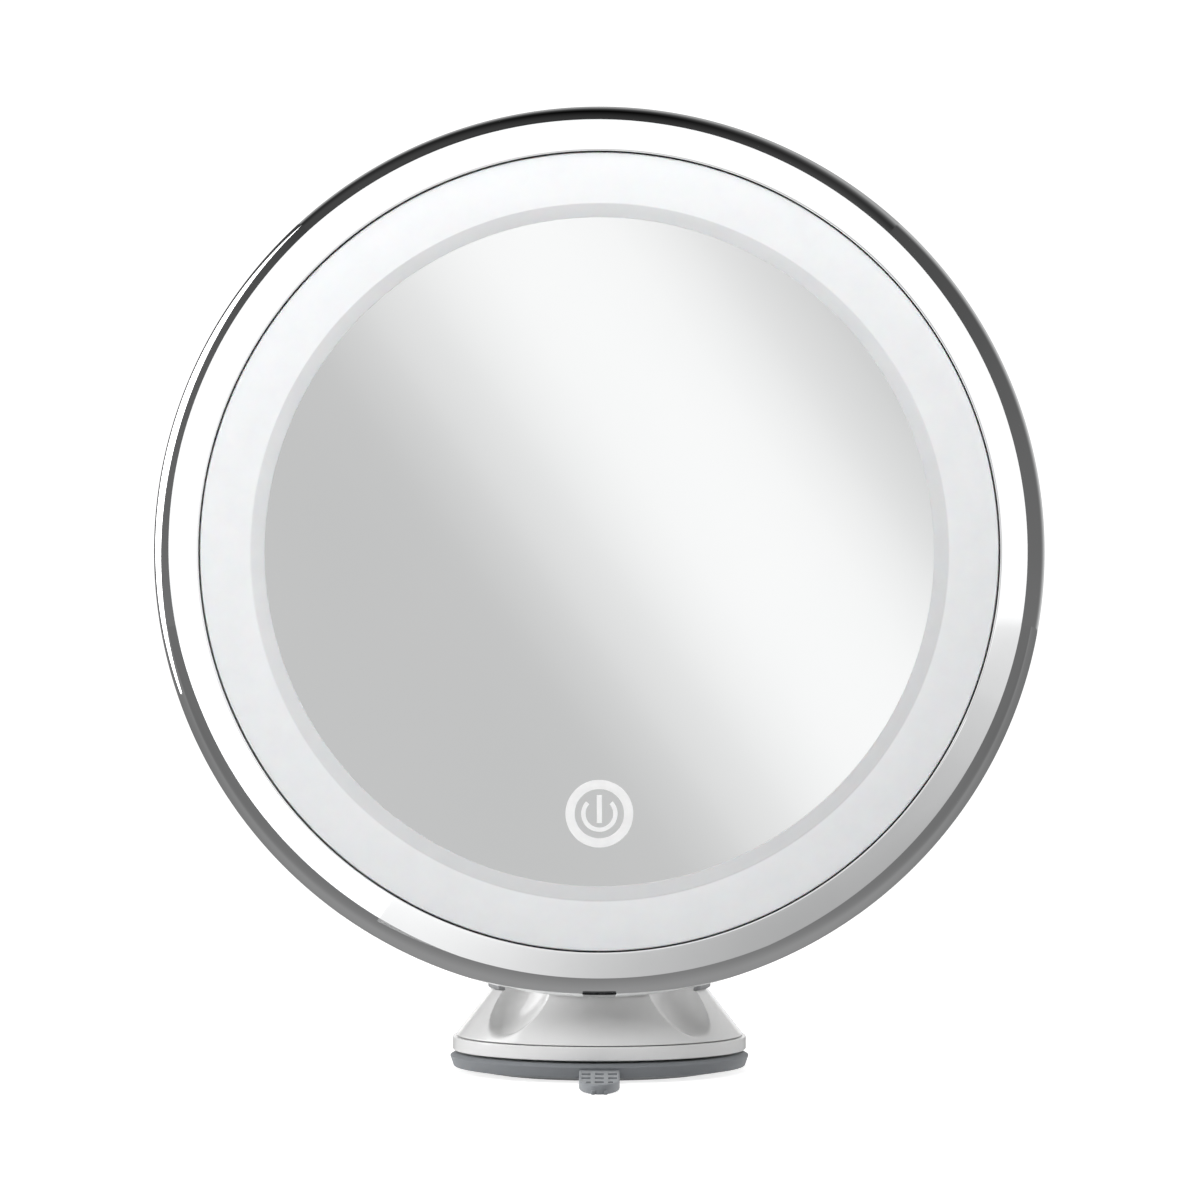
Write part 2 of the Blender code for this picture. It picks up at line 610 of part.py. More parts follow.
def make_base_housing(finish, parent):
    """The white ring, its web, the well over the puller and the slotted centre tube."""
    ring_inner = RING_RADIUS - RING_WIDTH
    step_radius = RING_RADIUS - RING_STEP_WIDTH
    well_outer = WELL_RADIUS + WELL_WALL
    profile = [
        (SCREW_HOLE_RADIUS - GAP, TUBE_TOP),
        (TUBE_RADIUS, TUBE_TOP),
        (TUBE_RADIUS, WELL_TOP + WELL_WALL),
        (well_outer, WELL_TOP + WELL_WALL),
        (well_outer, HOUSING_SEAT + WEB_THICKNESS),
        (ring_inner, HOUSING_SEAT + WEB_THICKNESS),
        (ring_inner, RING_TOP),
        (RING_RADIUS - RING_EDGE, RING_TOP),
        (RING_RADIUS, RING_TOP - RING_EDGE),
        (RING_RADIUS, RING_BOTTOM + RING_EDGE),
        (RING_RADIUS - RING_EDGE, RING_BOTTOM),
        (step_radius, RING_BOTTOM),
        (step_radius, HOUSING_SEAT),
        (WELL_RADIUS, HOUSING_SEAT),
        (WELL_RADIUS, WELL_TOP),
        (TUBE_BORE_RADIUS, WELL_TOP),
        (TUBE_BORE_RADIUS, TUBE_TOP - TUBE_CAP),
        (SCREW_HOLE_RADIUS - GAP, TUBE_TOP - TUBE_CAP),
    ]
    housing = turned("base_housing", profile, BASE_STEPS, finish, parent)
    slot_height = PULLER_TRAVEL + 2 * PIN_HOLE_RADIUS
    size = (2 * TUBE_RADIUS + 2 * CUT_OVERRUN, 2 * PIN_HOLE_RADIUS, slot_height)
    place = (0, 0, CROSS_PIN_HEIGHT + PULLER_TRAVEL / 2)
    boolean(housing, as_tool(box("pin_slot", size, finish, parent, place)), "DIFFERENCE")
    return housing


def make_puller(finish, pin_finish, parent):
    """The stud bonded to the pad's middle and the pin that rides the cam."""
    disc_top = PULLER_BOTTOM + PULLER_DISC_THICKNESS
    profile = [
        (0, PULLER_TOP),
        (PULLER_STUD_RADIUS, PULLER_TOP),
        (PULLER_STUD_RADIUS, disc_top),
        (PULLER_DISC_RADIUS, disc_top),
        (PULLER_DISC_RADIUS, PULLER_BOTTOM),
        (0, PULLER_BOTTOM),
    ]
    stud = turned("puller_stud", profile, HUB_STEPS, finish, parent, closed=False)
    place = (0, 0, CROSS_PIN_HEIGHT)
    hole_length = 2 * PULLER_STUD_RADIUS + 2 * CUT_OVERRUN
    hole = cylinder("stud_hole", PIN_HOLE_RADIUS, hole_length, PIN_STEPS, finish, parent, place, ALONG_X)
    boolean(stud, as_tool(hole), "DIFFERENCE")
    cylinder("cross_pin", CROSS_PIN_RADIUS, CROSS_PIN_LENGTH, PIN_STEPS, pin_finish, parent, place, ALONG_X)


def add_ellipsoid(work, segments, rings, size):
    """Add a unit sphere stretched by a matrix."""
    bmesh.ops.create_uvsphere(work, u_segments=segments, v_segments=rings, radius=1, matrix=size)


def make_scoops(finish, parent):
    """Return the ellipsoid cutters of the four finger scoops."""
    height = KNOB_TOP - SCOOP_TOP_DROP
    radius = KNOB_TOP_RADIUS + SCOOP_TOP_DROP * math.tan(KNOB_SLOPE)
    size = Matrix.Diagonal((SCOOP_DEPTH, SCOOP_HALF_WIDTH, SCOOP_HALF_LENGTH, 1))
    scoops = []
    for index in range(SCOOP_COUNT):
        turn = FULL_TURN * (index + 0.5) / SCOOP_COUNT
        mesh = mesh_from(lambda work: add_ellipsoid(work, SCOOP_SEGMENTS, SCOOP_RINGS, size))
        smooth(mesh)
        place = (radius * math.cos(turn), radius * math.sin(turn), height)
        scoop = add_object(f"scoop_{index}", mesh, finish, parent, place, (0, -KNOB_SLOPE, turn))
        scoops.append(as_tool(scoop))
    return scoops


def make_lock_knob(finish, collar_finish, parent):
    """The white knob and the grey collar on its top, both cut by the finger scoops."""
    bore = CAM_BORE_RADIUS
    cavity_top = KNOB_TOP - KNOB_DECK
    profile = [
        (bore, KNOB_TOP),
        (KNOB_TOP_RADIUS - KNOB_EDGE, KNOB_TOP),
        (KNOB_TOP_RADIUS, KNOB_TOP - KNOB_EDGE),
        (KNOB_RADIUS, KNOB_BOTTOM + KNOB_EDGE),
        (KNOB_RADIUS - KNOB_EDGE, KNOB_BOTTOM),
        (KNOB_CAVITY_RADIUS, KNOB_BOTTOM),
        (KNOB_CAVITY_TOP_RADIUS, cavity_top),
        (bore, cavity_top),
    ]
    knob = turned("lock_knob", profile, BASE_STEPS, finish, parent)
    profile = [
        (COLLAR_INNER_RADIUS, COLLAR_TOP),
        (COLLAR_RADIUS - COLLAR_EDGE, COLLAR_TOP),
        (COLLAR_RADIUS, COLLAR_TOP - COLLAR_EDGE),
        (COLLAR_RADIUS, COLLAR_BOTTOM + COLLAR_EDGE),
        (COLLAR_RADIUS - COLLAR_EDGE, COLLAR_BOTTOM),
        (COLLAR_INNER_RADIUS, COLLAR_BOTTOM),
    ]
    collar = turned("knob_collar", profile, BASE_STEPS, collar_finish, parent)
    for scoop in make_scoops(finish, parent):
        boolean(knob, scoop, "DIFFERENCE")
        boolean(collar, scoop, "DIFFERENCE")


def make_cam_plate(finish, parent):
    """The plate under the knob with two ramps that lift the cross pin."""
    bore = CAM_BORE_RADIUS
    lean = (KNOB_CAVITY_RADIUS - KNOB_CAVITY_TOP_RADIUS) / (KNOB_HEIGHT - KNOB_DECK)
    rim = KNOB_CAVITY_RADIUS - lean * (CAM_PLATE_TOP - KNOB_BOTTOM) - GAP
    profile = [
        (bore, CAM_LOW),
        (CAM_RADIUS, CAM_LOW),
        (CAM_RADIUS, CAM_PLATE_TOP),
        (rim, CAM_PLATE_TOP),
        (rim, CAM_BOTTOM),
        (bore, CAM_BOTTOM),
    ]
    cam = turned("cam_plate", profile, HIDDEN_RING_STEPS, finish, parent)
    for index in range(2):
        mesh = mesh_from(lambda work: ramp(work, bore + CAM_RAMP_INSET, CAM_RADIUS - CAM_RAMP_INSET))
        tool = add_object(f"ramp_{index}", mesh, finish, parent, (0, 0, 0), (0, 0, math.pi * index))
        boolean(cam, as_tool(tool), "UNION")


def ramp(work, inner, outer):
    """Sweep a sector round Z and raise its top in step with the turn."""
    floor = CAM_BOTTOM + CAM_PLATE_THICKNESS / 2
    start = Matrix.Rotation(-CAM_LEAD, 4, "Z")
    corners = [(inner, 0, floor), (outer, 0, floor), (outer, 0, CAM_LOW), (inner, 0, CAM_LOW)]
    section = work.faces.new([work.verts.new(start @ Vector(corner)) for corner in corners])
    swept = CAM_LEAD + LOCK_TURN + CAM_LAND
    geometry = [section, *section.edges, *section.verts]
    bmesh.ops.spin(work, geom=geometry, cent=(0, 0, 0), axis=(0, 0, 1), angle=swept, steps=CAM_RAMP_STEPS)
    for corner in work.verts:
        if corner.co.z > (floor + CAM_LOW) / 2:
            turn = math.atan2(corner.co.y, corner.co.x)
            share = min(max(turn / LOCK_TURN, 0), 1)
            corner.co.z += PULLER_TRAVEL * share + GAP / 3
    bmesh.ops.recalc_face_normals(work, faces=work.faces)


def pivot_outline(radius, foot_distance):
    """Return an ear's outline: a round top about the pivot and a straight foot below it."""
    outline = arc((0, 0), radius, 0, math.pi, EAR_STEPS)
    outline.append((-radius, -foot_distance))
    outline.append((radius, -foot_distance))
    return outline


def make_turret(finish, parent, pivot):
    """The turning base of the arm with its two ears."""
    bottom = COLLAR_TOP + GAP
    bore = CAM_BORE_RADIUS
    profile = [
        (SCREW_HOLE_RADIUS, TURRET_TOP),
        (TURRET_SHOULDER_RADIUS, TURRET_TOP),
        (TURRET_RADIUS, TURRET_TOP - TURRET_SHOULDER_DROP),
        (TURRET_RADIUS, bottom),
        (bore, bottom),
        (bore, TURRET_WEB_BOTTOM),
        (SCREW_HOLE_RADIUS, TURRET_WEB_BOTTOM),
    ]
    turret = turned("turret", profile, BASE_STEPS, finish, parent)
    foot = LOWER_PIVOT_HEIGHT - TURRET_TOP + TURRET_WEB / 2
    offset = EAR_INNER_FACE + EAR_THICKNESS / 2
    for side in (-1, 1):
        outlines = [pivot_outline(EAR_RADIUS, foot), circle(PIVOT_HOLE_RADIUS, PIN_STEPS)]
        name = "turret_ear_right" if side > 0 else "turret_ear_left"
        ear = plate(name, outlines, EAR_THICKNESS, finish, pivot, (side * offset, 0, 0), PLATE_ACROSS)
        round_edges(ear, EAR_EDGE, segments=1)
        boolean(turret, as_tool(ear), "UNION")
    return turret


def make_swivel_fastening(steel, nylon, root, parent):
    """The friction washer, clamp washer and screw that hold the turret on the tube."""
    ring("swivel_washer", SCREW_HOLE_RADIUS, SWIVEL_WASHER_RADIUS, SWIVEL_WASHER_BOTTOM,
         SWIVEL_WASHER_THICKNESS, nylon, root)
    ring("clamp_washer", SCREW_HOLE_RADIUS, CLAMP_WASHER_RADIUS, CLAMP_WASHER_BOTTOM,
         CLAMP_WASHER_THICKNESS, steel, parent)
    head_top = SWIVEL_SCREW_SEAT + SWIVEL_SCREW_HEAD_HEIGHT
    shank = SCREW_HOLE_RADIUS - 2 * GAP
    profile = [
        (0, head_top),
        (SWIVEL_SCREW_HEAD_RADIUS - RING_EDGE, head_top),
        (SWIVEL_SCREW_HEAD_RADIUS, head_top - RING_EDGE),
        (SWIVEL_SCREW_HEAD_RADIUS, SWIVEL_SCREW_SEAT),
        (shank, SWIVEL_SCREW_SEAT),
        (shank, TUBE_TOP - SWIVEL_SCREW_BITE),
        (0, TUBE_TOP - SWIVEL_SCREW_BITE),
    ]
    turned("turret_screw", profile, PIN_STEPS, steel, parent, closed=False)


def ring(name, inner, outer, bottom, thickness, finish, parent, steps=HUB_STEPS, rotation=(0, 0, 0)):
    """Return a flat washer or ring about its own Z."""
    top = bottom + thickness
    profile = [(inner, top), (outer, top), (outer, bottom), (inner, bottom)]
    return turned(name, profile, steps, finish, parent, rotation=rotation)


def make_pivot_set(prefix, steel, nylon, pivot):
    """A pivot's bolt, nut and pair of friction washers, along X."""
    crown_radius = PIVOT_HEAD_RADIUS - PIVOT_HEAD_CROWN
    head_end = BOLT_SEAT + PIVOT_HEAD_THICKNESS
    bolt_end = BOLT_SEAT + PIVOT_NUT_THICKNESS + PIVOT_BOLT_END
    profile = [
        (0, head_end),
        (crown_radius, head_end),
        (PIVOT_HEAD_RADIUS, head_end - PIVOT_HEAD_CROWN),
        (PIVOT_HEAD_RADIUS, BOLT_SEAT),
        (PIVOT_BOLT_RADIUS, BOLT_SEAT),
        (PIVOT_BOLT_RADIUS, -bolt_end),
        (0, -bolt_end),
    ]
    turned(f"{prefix}_bolt", profile, PIN_STEPS, steel, pivot, closed=False, rotation=ALONG_X)
    outlines = [circle(PIVOT_NUT_RADIUS, NUT_SIDES), circle(PIVOT_HOLE_RADIUS, PIN_STEPS)]
    place = (-BOLT_SEAT - PIVOT_NUT_THICKNESS / 2, 0, 0)
    plate(f"{prefix}_nut", outlines, PIVOT_NUT_THICKNESS, steel, pivot, place, PLATE_ACROSS)
    for side, bottom in (("right", WASHER_INNER_FACE), ("left", -WASHER_OUTER_FACE)):
        ring(f"{prefix}_friction_washer_{side}", PIVOT_HOLE_RADIUS, PIVOT_WASHER_RADIUS, bottom,
             PIVOT_WASHER_THICKNESS, nylon, pivot, rotation=ALONG_X)


def make_arm(finish, pivot):
    """The flat arm link with an eye at each end."""
    length = HEAD_CENTRE_HEIGHT - LOWER_PIVOT_HEIGHT
    half_waist = ARM_WAIST / 2
    flare = math.asin(half_waist / ARM_EYE_RADIUS)
    shoulder = ARM_EYE_RADIUS * math.cos(flare)
    outline = arc((0, length), ARM_EYE_RADIUS, flare - RIGHT_ANGLE, 3 * RIGHT_ANGLE - flare, EYE_STEPS)
    outline.append((-half_waist, length - 2 * shoulder))
    outline.append((-half_waist, 2 * shoulder))
    outline += arc((0, 0), ARM_EYE_RADIUS, RIGHT_ANGLE + flare, 5 * RIGHT_ANGLE - flare, EYE_STEPS)
    outline.append((half_waist, 2 * shoulder))
    outline.append((half_waist, length - 2 * shoulder))
    holes = [circle(PIVOT_HOLE_RADIUS, PIN_STEPS), circle(PIVOT_HOLE_RADIUS, PIN_STEPS, (0, length))]
    arm = plate("arm_link", [outline, *holes], ARM_THICKNESS, finish, pivot, rotation=PLATE_ACROSS)
    round_edges(arm, ARM_EDGE)
    return arm


def make_yoke(finish, pivot, spindle_frame):
    """The fork that tilts on the arm and carries the head's spindle."""
    width = 2 * EAR_OUTER_FACE
    size = (width, YOKE_PLATE_THICKNESS, 2 * YOKE_PLATE_HALF_HEIGHT)
    place = (0, -PIVOT_BEHIND_YOKE - YOKE_PLATE_THICKNESS / 2, 0)
    yoke = box("tilt_yoke", size, finish, pivot, place)
    round_edges(yoke, EAR_EDGE, segments=1)
    offset = EAR_INNER_FACE + EAR_THICKNESS / 2
    reach = PIVOT_BEHIND_YOKE + YOKE_PLATE_THICKNESS / 2
    for side in (-1, 1):
        outlines = [pivot_outline(EAR_RADIUS, reach), circle(PIVOT_HOLE_RADIUS, PIN_STEPS)]
        name = "yoke_ear_right" if side > 0 else "yoke_ear_left"
        ear = plate(name, outlines, EAR_THICKNESS, finish, pivot, (side * offset, 0, 0), ALONG_X)
        round_edges(ear, EAR_EDGE, segments=1)
        boolean(yoke, as_tool(ear), "UNION")
    length = YOKE_PLATE_THICKNESS + 2 * CUT_OVERRUN
    middle = -(YOKE_FRONT_DEPTH + YOKE_BACK_DEPTH) / 2
    hole = cylinder("spindle_hole", SPINDLE_HOLE_RADIUS, length, PIN_STEPS, finish, spindle_frame,
                    (0, 0, middle))
    boolean(yoke, as_tool(hole), "DIFFERENCE")
    bore = cylinder("nut_pocket", SPINDLE_NUT_RADIUS + GAP, 2 * YOKE_COUNTERBORE, HUB_STEPS, finish,
                    spindle_frame, (0, 0, -YOKE_BACK_DEPTH))
    boolean(yoke, as_tool(bore), "DIFFERENCE")
    return yoke


def make_spindle(steel, nylon, frame):
    """The spindle that the head rolls on, with its friction washer and nut."""
    seat = BOSS_FLOOR_DEPTH - GAP - BUSH_FLANGE_THICKNESS - GAP
    nut_back = COUNTERBORE_DEPTH + GAP + SPINDLE_NUT_THICKNESS
    profile = [
        (0, -seat + SPINDLE_HEAD_THICKNESS),
        (SPINDLE_HEAD_RADIUS, -seat + SPINDLE_HEAD_THICKNESS),
        (SPINDLE_HEAD_RADIUS, -seat),
        (SPINDLE_RADIUS, -seat),
        (SPINDLE_RADIUS, -nut_back),
        (0, -nut_back),
    ]
    turned("hub_spindle", profile, PIN_STEPS, steel, frame, closed=False)
    ring("spindle_washer", SPINDLE_HOLE_RADIUS, SPINDLE_WASHER_RADIUS,
         -SPINDLE_WASHER_DEPTH - SPINDLE_WASHER_THICKNESS, SPINDLE_WASHER_THICKNESS, nylon, frame)
    outlines = [circle(SPINDLE_NUT_RADIUS, NUT_SIDES), circle(SPINDLE_HOLE_RADIUS, PIN_STEPS)]
    place = (0, 0, -nut_back + SPINDLE_NUT_THICKNESS / 2)
    plate("spindle_nut", outlines, SPINDLE_NUT_THICKNESS, steel, frame, place)


def nose_point(turn):
    """Return a point on the bezel's round nose; turn is a right angle at its back edge."""
    reach = BEZEL_NOSE_WIDTH / (1 - math.sin(BEZEL_NOSE_START))
    depth = (BEZEL_DEPTH - BEZEL_CREASE_DEPTH) / math.cos(BEZEL_NOSE_START)
    return (BEZEL_RADIUS - reach * (1 - math.sin(turn)), -BEZEL_DEPTH + depth * math.cos(turn))


def nose_radius(depth):
    """Return the nose's outer radius at a depth."""
    rise = (BEZEL_DEPTH - depth) / (BEZEL_DEPTH - BEZEL_CREASE_DEPTH) * math.cos(BEZEL_NOSE_START)
    return nose_point(math.acos(rise))[0]


def make_bezel(finish, frame):
    """The chromed rim: a lip, a gently sloping face and a deep round nose."""
    middle_radius = (BEZEL_LIP_RADIUS + BEZEL_CREASE_RADIUS) / 2
    profile = [
        (BEZEL_LIP_RADIUS, -BEZEL_LIP_DEPTH),
        (BEZEL_LIP_RADIUS, 0),
        (middle_radius, BEZEL_SWELL - BEZEL_CREASE_DEPTH / 2),
    ]
    for index in range(BEZEL_NOSE_STEPS + 1):
        share = index / BEZEL_NOSE_STEPS
        profile.append(nose_point(BEZEL_NOSE_START + (RIGHT_ANGLE - BEZEL_NOSE_START) * share))
    bezel = turned("chrome_bezel", profile, RIM_STEPS, finish, frame, closed=False)
    shell(bezel, BEZEL_WALL)
    size = (PORT_WIDTH, 2 * (BEZEL_RADIUS - BEZEL_CREASE_RADIUS), PORT_OPENING)
    place = (0, -BEZEL_RADIUS, -PORT_FRONT_DEPTH - PORT_OPENING / 2)
    boolean(bezel, as_tool(box("port_slot", size, finish, frame, place)), "DIFFERENCE")
    return bezel


def make_diffuser(finish, frame):
    """The frosted light ring with its bevelled lip over the glass."""
    shoulder = DIFFUSER_INNER_RADIUS + DIFFUSER_LIP_THICKNESS
    profile = [
        (GLASS_VISIBLE_RADIUS, -DIFFUSER_LIP_DEPTH),
        (DIFFUSER_INNER_RADIUS, -DIFFUSER_FACE_DEPTH),
        (DIFFUSER_RADIUS - DIFFUSER_EDGE, -DIFFUSER_FACE_DEPTH),
        (DIFFUSER_RADIUS, -DIFFUSER_FACE_DEPTH - DIFFUSER_EDGE),
        (DIFFUSER_RADIUS, -DIFFUSER_BACK_DEPTH),
        (shoulder, -DIFFUSER_BACK_DEPTH),
        (DIFFUSER_INNER_RADIUS, -DIFFUSER_LIP_BACK),
        (GLASS_VISIBLE_RADIUS, -DIFFUSER_LIP_BACK),
    ]
    return turned("diffuser_ring", profile, RIM_STEPS, finish, frame)


def glass_depth(radius):
    """Return the depth of the glass's face at a radius."""
    return GLASS_EDGE_DEPTH + GLASS_SAGITTA - radius**2 / (2 * GLASS_CURVE_RADIUS)


def make_glass(finish, frame):
    """The concave magnifying mirror glass."""
    radii = [GLASS_RADIUS * index / GLASS_RINGS for index in range(GLASS_RINGS + 1)]
    profile = [(radius, -glass_depth(radius)) for radius in radii]
    profile += [(radius, -glass_depth(radius) - GLASS_THICKNESS) for radius in reversed(radii)]
    return turned("mirror_glass", profile, HIDDEN_RING_STEPS, finish, frame, closed=False)


def make_touch_icon(finish, frame):
    """The plain power mark: a ring, an open arc and a bar."""
    opening = ICON_ARC_OPENING / 2
    start = RIGHT_ANGLE + opening
    end = RIGHT_ANGLE + FULL_TURN - opening
    mark = arc((0, 0), ICON_ARC_OUTER, start, end, ICON_STEPS // 2)
    mark += arc((0, 0), ICON_ARC_INNER, end, start, ICON_STEPS // 2)
    half = ICON_BAR_WIDTH / 2
    low = ICON_BAR_RISE - ICON_BAR_LENGTH / 2
    high = ICON_BAR_RISE + ICON_BAR_LENGTH / 2
    bar = [(-half, low), (half, low), (half, high), (-half, high)]
    ring_edges = [circle(ICON_RING_OUTER, ICON_STEPS), circle(ICON_RING_INNER, ICON_STEPS)]
    lean = math.asin(ICON_DROP / GLASS_CURVE_RADIUS)
    lift = ICON_RING_OUTER**2 / (2 * GLASS_CURVE_RADIUS) + GAP + ICON_THICKNESS / 2
    place = (0, -ICON_DROP, -glass_depth(ICON_DROP) + lift)
    for name, outlines in (("icon_ring", ring_edges), ("icon_arc", [mark]), ("icon_bar", [bar])):
        plate(name, outlines, ICON_THICKNESS, finish, frame, place, (-lean, 0, 0))


def make_tray(finish, frame):
    """The moulded tray behind the glass, with a shelf for the lights and bosses for the screws."""
    ledge_inner = GLASS_RADIUS - TRAY_LEDGE_WIDTH
    ledge_depth = glass_depth(ledge_inner) + GLASS_THICKNESS + GAP
    well_outer = ledge_inner + TRAY_WALL
    flange_back = TRAY_FLANGE_DEPTH + TRAY_FLANGE_THICKNESS
    shelf_back = TRAY_SHELF_DEPTH + TRAY_SHELF_THICKNESS
    skirt = TRAY_WALL_OUTER_RADIUS + TRAY_WALL
    profile = [
        (0, -TRAY_FLOOR_DEPTH),
        (ledge_inner, -TRAY_FLOOR_DEPTH),
        (ledge_inner, -ledge_depth),
        (TRAY_UPSTAND_RADIUS, -ledge_depth),
        (TRAY_UPSTAND_RADIUS, -GLASS_EDGE_DEPTH),
        (TRAY_UPSTAND_OUTER_RADIUS, -GLASS_EDGE_DEPTH),
        (TRAY_UPSTAND_OUTER_RADIUS, -TRAY_SHELF_DEPTH),
        (TRAY_WALL_INNER_RADIUS, -TRAY_SHELF_DEPTH),
        (TRAY_WALL_INNER_RADIUS, -DIFFUSER_BACK_DEPTH - GAP),
        (TRAY_WALL_OUTER_RADIUS, -DIFFUSER_BACK_DEPTH - GAP),
        (TRAY_WALL_OUTER_RADIUS, -TRAY_FLANGE_DEPTH),
        (TRAY_FLANGE_RADIUS, -TRAY_FLANGE_DEPTH),
        (TRAY_FLANGE_RADIUS, -flange_back),
        (skirt, -flange_back),
        (skirt, -shelf_back),
        (well_outer, -shelf_back),
        (well_outer, -TRAY_BACK_DEPTH),
        (0, -TRAY_BACK_DEPTH),
    ]
    tray = turned("inner_tray", profile, HIDDEN_RING_STEPS, finish, frame, closed=False)
    boss_back = HOUSING_INNER_DEPTH - GAP
    boss_front = TRAY_BACK_DEPTH - TRAY_WALL / 2
    screw_hole = HOUSING_SCREW_RADIUS + GAP

    def bosses(radius, front, back, steps):
        def build(work):
            for place in screw_places():
                matrix = Matrix.Translation((*place, -(front + back) / 2))
                add_cylinder(work, radius, back - front, steps, matrix)
        return build

    mesh = mesh_from(bosses(TRAY_BOSS_RADIUS, boss_front, boss_back, PIN_STEPS))
    boolean(tray, as_tool(add_object("tray_bosses", mesh, finish, frame)), "UNION")
    mesh = mesh_from(bosses(screw_hole, TRAY_BACK_DEPTH + GAP, boss_back + CUT_OVERRUN, PIN_STEPS))
    boolean(tray, as_tool(add_object("tray_screw_holes", mesh, finish, frame)), "DIFFERENCE")
    return tray


def screw_places():
    """Return the places of the rear housing's screws."""
    turns = [FULL_TURN * (index + 0.5) / HOUSING_SCREW_COUNT for index in range(HOUSING_SCREW_COUNT)]
    return [(HOUSING_SCREW_CIRCLE * math.cos(turn), HOUSING_SCREW_CIRCLE * math.sin(turn)) for turn in turns]


def make_lights(board_finish, frame):
    """The annular board with its ring of lamps soldered on."""
    inner = TRAY_UPSTAND_OUTER_RADIUS + GAP
    outer = TRAY_WALL_INNER_RADIUS - GAP
    bottom = -TRAY_SHELF_DEPTH + GAP
    board = ring("lamp_board", inner, outer, bottom, LED_BOARD_THICKNESS, board_finish, frame,
                 HIDDEN_RING_STEPS)
    radius = (inner + outer) / 2
    sunk = LED_BOARD_THICKNESS / 2
    height = bottom + LED_BOARD_THICKNESS + (LED_HEIGHT - sunk) / 2

    def build(work):
        for index in range(LED_COUNT):
            turn = Matrix.Rotation(FULL_TURN * index / LED_COUNT, 4, "Z")
            add_box(work, (LED_WIDTH, LED_LENGTH, LED_HEIGHT + sunk), (radius, 0, height), turn)

    boolean(board, as_tool(add_object("lamps", mesh_from(build), board_finish, frame)), "UNION")


def make_electronics(board, metal, foil, foam, red_wire, black_wire, frame):
    """The touch board, charging port, control board, cell, pad and leads."""
    sensor_height = -TRAY_FLOOR_DEPTH + GAP + SENSOR_THICKNESS / 2
    box("touch_sensor_board", (SENSOR_WIDTH, SENSOR_HEIGHT, SENSOR_THICKNESS), board, frame,
        (0, -ICON_DROP, sensor_height))
    make_port(board, metal, frame)
    control_depth = TRAY_BACK_DEPTH + GAP + CONTROL_BOARD_THICKNESS / 2
    box("control_board", (CONTROL_BOARD_WIDTH, CONTROL_BOARD_HEIGHT, CONTROL_BOARD_THICKNESS), board, frame,
        (0, -CONTROL_BOARD_DROP, -control_depth))
    cell = box("battery_cell", (BATTERY_WIDTH, BATTERY_HEIGHT, BATTERY_THICKNESS), foil, frame,
               (0, BATTERY_RISE, -BATTERY_FRONT_DEPTH - BATTERY_THICKNESS / 2))
    round_edges(cell, BATTERY_EDGE, segments=1)
    pad_width = BATTERY_WIDTH - BATTERY_PAD_MARGIN
    pad_height = BATTERY_HEIGHT - BATTERY_PAD_MARGIN
    box("battery_pad", (pad_width, pad_height, BATTERY_PAD_THICKNESS), foam, frame,
        (0, BATTERY_RISE, -BATTERY_PAD_DEPTH - BATTERY_PAD_THICKNESS / 2))
    lead_depth = TRAY_BACK_DEPTH + 2 * GAP + LEAD_RADIUS + CONTROL_BOARD_THICKNESS
    start = BATTERY_RISE - BATTERY_HEIGHT / 2 - GAP
    end = -CONTROL_BOARD_DROP + CONTROL_BOARD_HEIGHT / 2 - 2 * LEAD_RADIUS
    for color, side, wire in (("red", 1, red_wire), ("black", -1, black_wire)):
        across = LEAD_OFFSET + side * LEAD_SPACING / 2
        make_lead(f"battery_lead_{color}", across, start, end, -lead_depth, wire, frame)


def make_lead(name, across, start, end, height, finish, frame):
    """A wire from the cell to the control board, bowed past the spindle."""
    curve = bpy.data.curves.new(name, "CURVE")
    curve.dimensions = "3D"
    curve.bevel_depth = LEAD_RADIUS
    curve.bevel_resolution = 1
    curve.use_fill_caps = True
    spline = curve.splines.new("POLY")
    spline.points.add(LEAD_STEPS - 1)
    for index, point in enumerate(spline.points):
        share = index / (LEAD_STEPS - 1)
        bow = LEAD_BOW * math.sin(math.pi * share) ** 2
        point.co = (across + bow, start + (end - start) * share, height, 1)
    mesh = curve_mesh(curve)
    smooth(mesh)
    add_object(name, mesh, finish, frame)


def make_port(board, metal, frame):
    """The charging socket behind the slot in the rim, and its small board."""
    shell_outer_width = PORT_WIDTH - 2 * GAP
    shell_outer_height = PORT_OPENING - 2 * GAP
    mouth = nose_radius(PORT_FRONT_DEPTH) - BEZEL_WALL - GAP
    middle = -mouth + PORT_LENGTH / 2
    height = -PORT_FRONT_DEPTH - PORT_OPENING / 2
    socket = box("usb_socket", (shell_outer_width, PORT_LENGTH, shell_outer_height), metal, frame,
                 (0, middle, height))
    hollow_width = shell_outer_width - 2 * PORT_SHELL_WALL
    hollow_height = shell_outer_height - 2 * PORT_SHELL_WALL
    hollow_place = (0, middle - PORT_FLOOR, height)
    hollow = box("socket_hollow", (hollow_width, PORT_LENGTH, hollow_height), metal, frame, hollow_place)
    boolean(socket, as_tool(hollow), "DIFFERENCE")
    tongue_size = (hollow_width - 2 * PORT_TONGUE_MARGIN, PORT_LENGTH - PORT_FLOOR, PORT_TONGUE_THICKNESS)
    tongue_place = (0, middle + PORT_FLOOR / 2, height)
    tongue = box("socket_tongue", tongue_size, metal, frame, tongue_place)
    boolean(socket, as_tool(tongue), "UNION")
    board_depth = PORT_BOARD_DEPTH + PORT_BOARD_THICKNESS / 2
    board_middle = -mouth + PORT_BOARD_HEIGHT / 2 + GAP
    box("port_board", (PORT_BOARD_WIDTH, PORT_BOARD_HEIGHT, PORT_BOARD_THICKNESS), board, frame,
        (0, board_middle, -board_depth))


